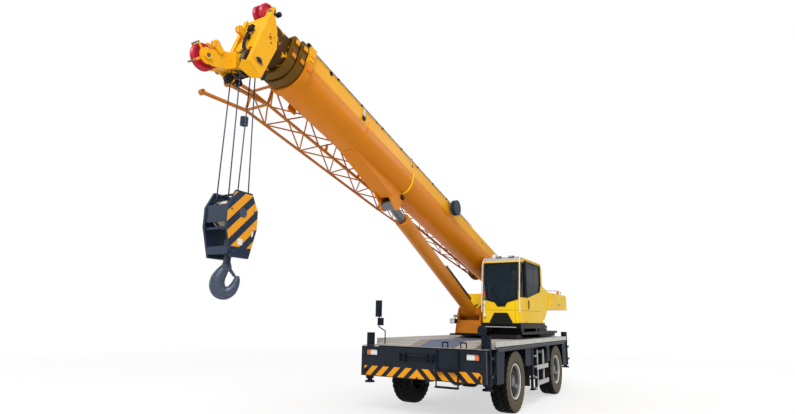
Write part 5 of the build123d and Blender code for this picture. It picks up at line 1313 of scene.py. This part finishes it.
class CRANE_OT_boom(bpy.types.Operator):
    """Adds the boom's saddle, clips, plugs, cable and reel, and the lift cylinder's hoses."""

    bl_idname = "crane.boom"
    bl_label = "Trim the boom"

    def execute(self, context):
        black, yellow, silver = [], [], []
        # access holes closed by dark plugs, on both sides
        for u, w, r in ((9335, 271, 0.036), (6750, 208, 0.026), (3176, 192, 0.022), (5000, 262, 0.012),
                        (8050, 285, 0.012)):
            for s in (1, -1):
                plug = ((0, 0), (0, r), (0.0015, r), (0.003, r * 0.9), (0.003, 0))
                black.append(lathe(plug, boom_at(u, s * BOOM_SIDE, w), s * LEFT, UP, 28))
        # clearance lamp and clip on the side plate
        black.append(prism(rounded(rect(8375, 95, 8440, 150), 8), BOOM, BOOM_SIDE, 335))
        silver.append(prism(rounded([(8385, 155), (8445, 170), (8460, 285), (8400, 285)], 14), BOOM, BOOM_SIDE, 326))
        silver.append(prism(rounded(rect(6790, 265, 6840, 345), 10), BOOM, BOOM_SIDE, 322))
        # cable along the top of the left side plate, with its clips
        cable = [boom_at(u, 322, 296) for u in np.linspace(4300, 9750, 14)]
        black.append(swept([boom_at(3980, 372, 250), boom_at(4120, 330, 290)] + cable, 0.006, 8, 3))
        for u in np.arange(4600, 9800, 650):
            black.append(prism(rect(u, 285, u + 30, 306), BOOM, BOOM_SIDE, 330))
        black.append(prism(rounded(rect(9830, 325, 9905, 355), 8), BOOM, 285, 320))
        # saddle: bright band that wraps the boom at the cylinder's clevis
        arc = np.linspace(0, 0.5 * np.pi, 9)
        outer = [(322, 100)] + [(62 + 262 * math.cos(a), -62 - 262 * math.sin(a) - 8) for a in arc]
        inner = [(310, 100)] + [(60 + 250 * math.cos(a), -60 - 250 * math.sin(a)) for a in arc]
        for s in (1, -1):
            strip = np.array(outer + inner[::-1])
            plane = (FOOT, MM * np.array([LEFT * s, UP, ALONG]))
            yellow.append(prism(strip, plane, 6655, 6690))
        # black clamps on both sides of the rod's eye
        for s in (1, -1):
            black.append(box_on_boom((6640, s * 100, -420), (6730, s * 180, -350)))
        piece("boom_plugs_and_cable", black, "plastic", "boom")
        piece("boom_saddle", yellow, "cab_enamel", "boom", bevel=0.003)
        piece("boom_clips", silver, "pale_paint", "boom", bevel=0.003)
        # cable reel: spoked drum with its hub
        low, high = (np.array(c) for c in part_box("cable_reel"))
        middle = (low + high) / 2
        reel = []
        profile = ((0.048, 0.165), (0.056, 0.165), (0.056, 0.150), (0.046, 0.148))
        reel.append(lathe(profile, (middle[0], high[1] - 0.062, middle[2]), LEFT, UP, 40, closed=True))
        for a in np.linspace(0, 2 * np.pi, 6, endpoint=False):
            tip = np.array((math.cos(a), 0, math.sin(a)))
            hub = np.array((middle[0], high[1] - 0.010, middle[2]))
            reel.append(tube(hub + 0.03 * tip, hub + 0.155 * tip, 0.007, 8))
        reel.append(lathe(((0, 0), (0, 0.045), (0.008, 0.04), (0.009, 0)), (middle[0], high[1] - 0.012, middle[2]),
                          LEFT, UP, 24))
        piece("reel_spokes", reel, "silver_paint", "boom")
        # hoses along the lift cylinder's upper right side, from the turntable to the rod's eye
        side = np.cross(LIFT_ALONG, LEFT)

        def along(d, out, y):
            """Point d along the cylinder from its foot, out above its middle and y to its left."""
            return LIFT_FOOT + d * LIFT_ALONG + out * side + np.array((0, y, 0))

        hoses = []
        for y, r in ((0.085, 0.017), (0.045, 0.013), (-0.06, 0.013)):
            path = ((0.35, 0.13), (0.42, 0.165), (0.9, 0.160), (1.5, 0.158), (1.8, 0.150))
            hoses.append(swept([along(d, out, y) for d, out in path], r, 12, 6))
        piece("cylinder_hoses", hoses, "hose_rubber", "lift_barrel")
        fittings = [tube(along(1.76, 0.12, y), along(1.76, 0.17, y), 0.02, 14) for y in (0.085, 0.045, -0.06)]
        fittings.append(tube(along(0.62, 0.150, 0.085), along(0.72, 0.152, 0.085), 0.024, 14))
        points, faces = box((1.70, -0.1, 0.125), (1.80, 0.1, 0.150))
        fittings.append((LIFT_FOOT + points @ np.array([LIFT_ALONG, LEFT, side]), faces))
        piece("cylinder_fittings", fittings, "steel", "lift_barrel", bevel=0.002)
        return {"FINISHED"}


def box_on_boom(low, high):
    """Box between two corners given as u, y, w in millimetres."""
    (u0, y0, w0), (u1, y1, w1) = low, high
    return prism(rect(u0, w0, u1, w1), BOOM, y0, y1)


def collar_pads(front, out):
    """Pad retainers of one collar: its front stands at u = front, its sides and top at out from the middle."""
    parts = []
    u0, u1 = front - 95, front - 25
    for y in (-230, -75, 75, 230):
        parts.append(box_on_boom((u0, y - 32, out), (u1, y + 32, out + 16)))
    for w in (200, -20):
        for s in (1, -1):
            parts.append(box_on_boom((u0, s * out, w - 32), (u1, s * (out + 14), w + 32)))
    return parts


class CRANE_OT_head(bpy.types.Operator):
    """Adds the head's pads, bosses, guard pins, buffers, hoses and the collars' retainers."""

    bl_idname = "crane.head"
    bl_label = "Trim the boom's head"

    def execute(self, context):
        piece("pads_base", collar_pads(9852, 340), "boom_enamel", "boom", bevel=0.004)
        piece("pads_second", collar_pads(9992, 327), "boom_enamel", "section_2", bevel=0.004)
        piece("pads_third", collar_pads(10132, 299), "boom_enamel", "section_3", bevel=0.004)
        body = "head_section"
        yellow, black, steel = [], [], []
        # rings and bolts round the nose pin, and the guard pins round its sheave
        for s in (1, -1):
            hub = boom_at(NOSE_PIN[0], s * 98, NOSE_PIN[1])
            ring = ((0, 0.050), (0.010, 0.048), (0.010, 0.030), (0.0, 0.028))
            yellow.append(lathe(ring, hub, s * LEFT, UP, 32, closed=True))
            steel.append(lathe(((0, 0), (0, 0.026), (0.006, 0.024), (0.007, 0)), hub, s * LEFT, UP, 24))
        for a in (0.55, -0.92):
            ray = np.array((math.cos(a), math.sin(a)))
            cross = np.array((-ray[1], ray[0]))
            u, w = NOSE_PIN + 174 * ray
            steel.append(tube(boom_at(u, -62, w), boom_at(u, 62, w), 0.010, 10))
            strip = [NOSE_PIN + d * ray + e * cross for d, e in ((60, -16), (186, -11), (186, 11), (60, 16))]
            for y in (-58, 46):
                yellow.append(prism(strip, BOOM, y, y + 12))
        # guard pins and yellow plates round the top sheaves
        for s in (1, -1):
            guard = rounded([(10415, 440), (10475, 440), (10470, 546), (10440, 556), (10420, 534)], 12)
            yellow.append(prism(guard, BOOM, s * 104, s * 112))
            steel += bolts([boom_at(TOP_PIN[0], s * 114, TOP_PIN[1])], s * LEFT, 0.03, 0.018)
        steel.append(tube(boom_at(10450, -110, 544), boom_at(10450, 110, 544), 0.008, 10))
        # black rope fitting behind them
        black.append(box_on_boom((10392, 150, 395), (10440, 215, 445)))
        ring = [boom_at(10395 + 26 * math.cos(a), 182, 452 + 26 * math.sin(a)) for a in np.linspace(0, 6.0, 12)]
        black.append(swept(ring, 0.009, 10, 3))
        # keeper plates over the main pin, with their dark recess
        for s in (1, -1):
            keeper = rounded([(10455, -520), (10590, -500), (10585, -440), (10450, -455)], 16)
            yellow.append(prism(keeper, BOOM, s * 249, s * 257))
            recess = rounded([(10480, -505), (10562, -495), (10560, -452), (10478, -460)], 10)
            black.append(prism(recess, BOOM, s * 257, s * 264))
            steel += bolts([boom_at(u, s * 257, w) for u, w in ((10468, -487), (10575, -472))], s * LEFT, 0.012, 0.01)
            # bolts in the plate's two holes
            steel += bolts([boom_at(10452 + du, s * 248, -28 + dw) for du, dw in ((-32, 22), (34, 30), (28, -36))],
                           s * LEFT, 0.008, 0.006)
        # rubber buffers: below the plates' rear corner, and under the nose
        for s in (1, -1):
            black.append(prism([(10318, -560), (10386, -490), (10396, -628), (10350, -640)], BOOM, s * 196, s * 232))
        buffer = rounded([(10600, -745), (10690, -745), (10715, -830), (10660, -880), (10625, -845)], 12)
        black.append(prism(buffer, BOOM, -30, 22))
        # valve block and hoses on the front web
        black.append(box_on_boom((10598, -30, 10), (10640, 55, 95)))
        black.append(box_on_boom((10600, -20, -120), (10630, 40, -60)))
        for y, bend in ((-10, 60), (10, 90), (30, 40)):
            black.append(swept([boom_at(10615, y, 10), boom_at(10640, y + 6, -bend), boom_at(10648, y + 20, -240),
                                boom_at(10630, y + 50, -330), boom_at(10615, 170, -400)], 0.008, 8, 6))
        # stiffeners on the arms and the step between them
        for s in (1, -1):
            rib = rounded([(10560, -300), (10625, -330), (10700, -500), (10690, -540), (10600, -520)], 14)
            yellow.append(prism(rib, BOOM, s * 84, s * 92))
            yellow.append(box_on_boom((10470, s * 152, -655), (10500, s * 226, -600)))
        piece("head_small_plates", yellow, "head_enamel", body, bevel=0.002)
        piece("head_rubber_and_hoses", black, "plastic", body)
        piece("head_pins", steel, "steel", body)
        return {"FINISHED"}


class CRANE_OT_superstructure(bpy.types.Operator):
    """Adds the turntable's work lamp, hoses, pin plates, housings' louvres and counterweight fittings."""

    bl_idname = "crane.superstructure"
    bl_label = "Trim the superstructure"

    def execute(self, context):
        body = "superstructure"
        black, steel, silver, yellow, lens = [], [], [], [], []
        # work lamp and horn on the pedestal's left and right
        black.append(prism(rounded(rect(-0.43, 1.72, -0.30, 1.83), 0.02), FRONT, 1.17, 1.29))
        black.append(tube((1.12, -0.30, 1.78), (1.20, -0.34, 1.78), 0.016, 10))
        lens.append(prism(rounded(rect(-0.418, 1.732, -0.312, 1.818), 0.015), FRONT, 1.29, 1.296))
        horn = ((0, 0), (0, 0.04), (0.05, 0.045), (0.06, 0.03), (0.062, 0))
        silver.append(lathe(horn, (1.18, -0.345, 1.86), Z, X, 24))
        silver.append(tube((1.18, -0.345, 1.83), (1.18, -0.345, 1.862), 0.012, 12))
        # valve gear and battery boxes hung under the tail deck, clear of the ring and the jack posts
        black.append(box((-1.30, 0.60, 1.5605), (-0.58, 1.13, 1.632)))
        black.append(box((-1.22, 0.62, 1.64), (-0.72, 1.16, 1.70)))
        for x0, x1, y0, y1 in ((-2.30, -0.80, 0.46, 1.09), (-2.30, -0.80, -0.60, -0.42), (0.80, 1.20, 0.50, 1.10)):
            skirt = rounded(rect(x0, y0, x1, y1), 0.03)
            black.append(prism(skirt, PLAN, 1.425, 1.4995))
        # hoses that rise from the turntable beside the cylinder
        for k, y in enumerate((0.325, 0.345, -0.33, -0.35)):
            black.append(swept([(0.95, y, 1.50), (1.02, y, 1.68), (1.00, y, 1.95), (0.80, y, 2.12), (0.35, y, 2.02),
                                (-0.2, y, 2.20)], 0.012 + 0.002 * (k % 2), 10, 6))
        # pin retainers on the cylinder's and the boom's feet
        for s in (1, -1):
            steel += bolts(ring_of((1.008, s * 0.300, 1.981), s * LEFT, 0.028, 3), s * LEFT, 0.009, 0.008)
            cap = ((0, 0), (0, 0.075), (0.008, 0.073), (0.010, 0))
            steel.append(lathe(cap, (-1.95, s * 0.361, 2.575), s * LEFT, X, 32))
        # bolts round the base plate, and gussets of the pedestal
        steel += bolts(ring_of((0, 0, 1.500), Z, 0.66, 28, 0.1), Z, 0.013, 0.014)
        for s in (1, -1):
            gusset = [(1.247, 1.505), (1.30, 1.505), (1.225, 1.72), (1.200, 1.72)]
            yellow.append(prism(gusset, SIDE, s * 0.288, s * 0.300))
        # louvres of the right housing, and hinges and a latch on the left one
        for k in range(7):
            for z in (2.22, 2.28, 2.34):
                black.append(box((-2.85 + 0.16 * k, -1.239, z), (-2.75 + 0.16 * k, -1.235, z + 0.015)))
        for x in (-2.9, -1.65):
            steel.append(tube((x, 1.243, 2.47), (x + 0.09, 1.243, 2.47), 0.008, 12))
        latch = [(-2.33, 1.236, 2.25), (-2.33, 1.262, 2.26), (-2.21, 1.262, 2.26), (-2.21, 1.236, 2.25)]
        steel.append(swept(latch, 0.007, 10, 5))
        # fittings on the counterweight: lifting eyes, lamp and grab rail
        for s in (1, -1):
            arch = np.linspace(0, np.pi, 9)
            eye = [(-3.20 + 0.05 * math.cos(a), s * 0.85, 2.56 + 0.05 * math.sin(a)) for a in arch]
            steel.append(swept(eye, 0.013, 12, 4))
            rail = ((1.10, 2.545), (1.10, 2.66), (0.95, 2.69), (0.55, 2.69), (0.40, 2.66), (0.40, 2.545))
            silver.append(swept([(-3.12, s * y, z) for y, z in rail], 0.012, 12, 6))
        black.append(tube((-3.30, 0.98, 2.545), (-3.30, 0.98, 2.60), 0.03, 16))
        piece("superstructure_hoses_and_louvres", black, "plastic", body)
        piece("superstructure_pins", steel, "steel", body)
        piece("superstructure_rails", silver, "silver_paint", body)
        piece("pedestal_gussets", yellow, "boom_enamel", body, bevel=0.002)
        piece("work_lamp_glass", lens, "lens", body)
        dome = ((0, 0), (0, 0.042), (0.06, 0.038), (0.085, 0.02), (0.09, 0.0))
        beacon = lathe(dome, (-3.30, 0.98, 2.60), Z, X, 28)
        piece("beacon", [beacon], "lamp_amber", body)
        return {"FINISHED"}


class CRANE_OT_stage(bpy.types.Operator):
    """Sets up a pale floor, soft studio light and the camera."""

    bl_idname = "crane.stage"
    bl_label = "Set the stage"

    def execute(self, context):
        scene = context.scene
        # pale paper floor: to the camera nearly white with a soft shadow, to the crane's underside a plain grey
        paper, tree, shader = new_material("studio_paper", "#FFFFFF", 0.9, specular=0.0)
        glow = add_node(tree, "Emission", {"Color": (1, 1, 1, 1), "Strength": 1.0})
        matte = add_node(tree, "BsdfDiffuse", {"Color": linear("#DEDAD4")})
        path = add_node(tree, "LightPath")
        where = add_node(tree, "TexCoord")
        reach = add_node(tree, "VectorMath", {"operation": "LENGTH"}, i0=where.outputs["Object"])
        share = add_node(tree, "MapRange", {"From Min": 6.0, "From Max": 22.0, "To Min": 0.6, "To Max": 1.0},
                         Value=reach.outputs["Value"])
        shown = add_node(tree, "MixShader", Fac=share.outputs["Result"], i1=shader.outputs[0], i2=glow.outputs[0])
        camera_or_not = add_node(tree, "MixShader", Fac=path.outputs["Is Camera Ray"], i1=matte.outputs[0],
                                 i2=shown.outputs[0])
        glossy = add_node(tree, "Math", {"operation": "MAXIMUM"}, i0=path.outputs["Is Glossy Ray"],
                          i1=path.outputs["Is Transmission Ray"])
        back = add_node(tree, "MixShader", Fac=glossy.outputs[0], i1=camera_or_not.outputs[0], i2=glow.outputs[0])
        tree.links.new(back.outputs[0], tree.nodes["Material Output"].inputs["Surface"])
        floor = new_object("floor", [(-60, -60, 0), (60, -60, 0), (60, 60, 0), (-60, 60, 0)], [[0, 1, 2, 3]], paper,
                           smooth=False)

        world = bpy.data.worlds.new("studio_world")
        scene.world = world
        world.use_nodes = True
        tree = world.node_tree
        lit = tree.nodes["Background"]
        lit.inputs["Color"].default_value = (1, 1, 1, 1)
        lit.inputs["Strength"].default_value = 0.62
        seen = add_node(tree, "Background", {"Color": (1, 1, 1, 1), "Strength": 1.0})
        path = add_node(tree, "LightPath")
        both = add_node(tree, "MixShader", Fac=path.outputs["Is Camera Ray"], i1=lit.outputs[0], i2=seen.outputs[0])
        tree.links.new(both.outputs[0], tree.nodes["World Output"].inputs["Surface"])

        # name, place, aim, size, watts
        lamps = (
            ("key", (20, 8, 17), (2, 0, 2), 9.0, 3000),
            ("fill", (15, -14, 8), (3, 0, 2), 12.0, 650),
            ("rim", (-14, 8, 15), (0, 0, 2), 8.0, 900),
        )
        for name, place, aim, size, watts in lamps:
            data = bpy.data.lights.new(name, "AREA")
            data.size = size
            data.energy = watts
            lamp = bpy.data.objects.new(name, data)
            lamp.location = place
            lamp.rotation_euler = (Vector(aim) - Vector(place)).to_track_quat("-Z", "Y").to_euler()
            scene.collection.objects.link(lamp)

        # wide view from low down, before the crane's left front corner: lens in millimetres, angles in degrees
        data = bpy.data.cameras.new("camera")
        data.lens = 23.12
        data.sensor_width = 36.0
        data.clip_end = 200.0
        camera = bpy.data.objects.new("camera", data)
        camera.location = (12.392, 4.665, 1.791)
        heading, climb, roll = math.radians(210.583), math.radians(12.409), math.radians(0.99)
        forward = Vector((math.cos(heading) * math.cos(climb), math.sin(heading) * math.cos(climb), math.sin(climb)))
        camera.rotation_mode = "QUATERNION"
        aim = forward.to_track_quat("-Z", "Y")
        camera.rotation_quaternion = Quaternion(forward, -roll) @ aim
        scene.collection.objects.link(camera)
        scene.camera = camera
        scene.view_settings.view_transform = "Standard"
        return {"FINISHED"}


STEPS = (CRANE_OT_paint, CRANE_OT_wheels, CRANE_OT_sheaves, CRANE_OT_ropes, CRANE_OT_jib, CRANE_OT_hook, CRANE_OT_cab,
         CRANE_OT_seat, CRANE_OT_carrier, CRANE_OT_boom, CRANE_OT_head, CRANE_OT_superstructure, CRANE_OT_stage)


class CRANE_PT_panel(bpy.types.Panel):
    """Lists the crane's steps in the sidebar."""

    bl_idname = "CRANE_PT_panel"
    bl_label = "Crane"
    bl_space_type = "VIEW_3D"
    bl_region_type = "UI"
    bl_category = "Crane"

    def draw(self, context):
        for step in STEPS:
            self.layout.operator(step.bl_idname)


def register():
    """Registers the settings, steps and panel."""
    for cls in SETTINGS + STEPS + (CRANE_PT_panel,):
        bpy.utils.register_class(cls)
    bpy.types.Scene.crane_paint = bpy.props.PointerProperty(type=CranePaint)
    bpy.types.Scene.crane_wheels = bpy.props.PointerProperty(type=CraneWheels)
    bpy.types.Scene.crane_ropes = bpy.props.PointerProperty(type=CraneRopes)


def unregister():
    """Undoes register."""
    del bpy.types.Scene.crane_ropes
    del bpy.types.Scene.crane_wheels
    del bpy.types.Scene.crane_paint
    for cls in reversed(SETTINGS + STEPS + (CRANE_PT_panel,)):
        bpy.utils.unregister_class(cls)


def main():
    register()
    for step in STEPS:
        group, name = step.bl_idname.split(".")
        getattr(getattr(bpy.ops, group), name)()


if __name__ == "__main__":
    main()
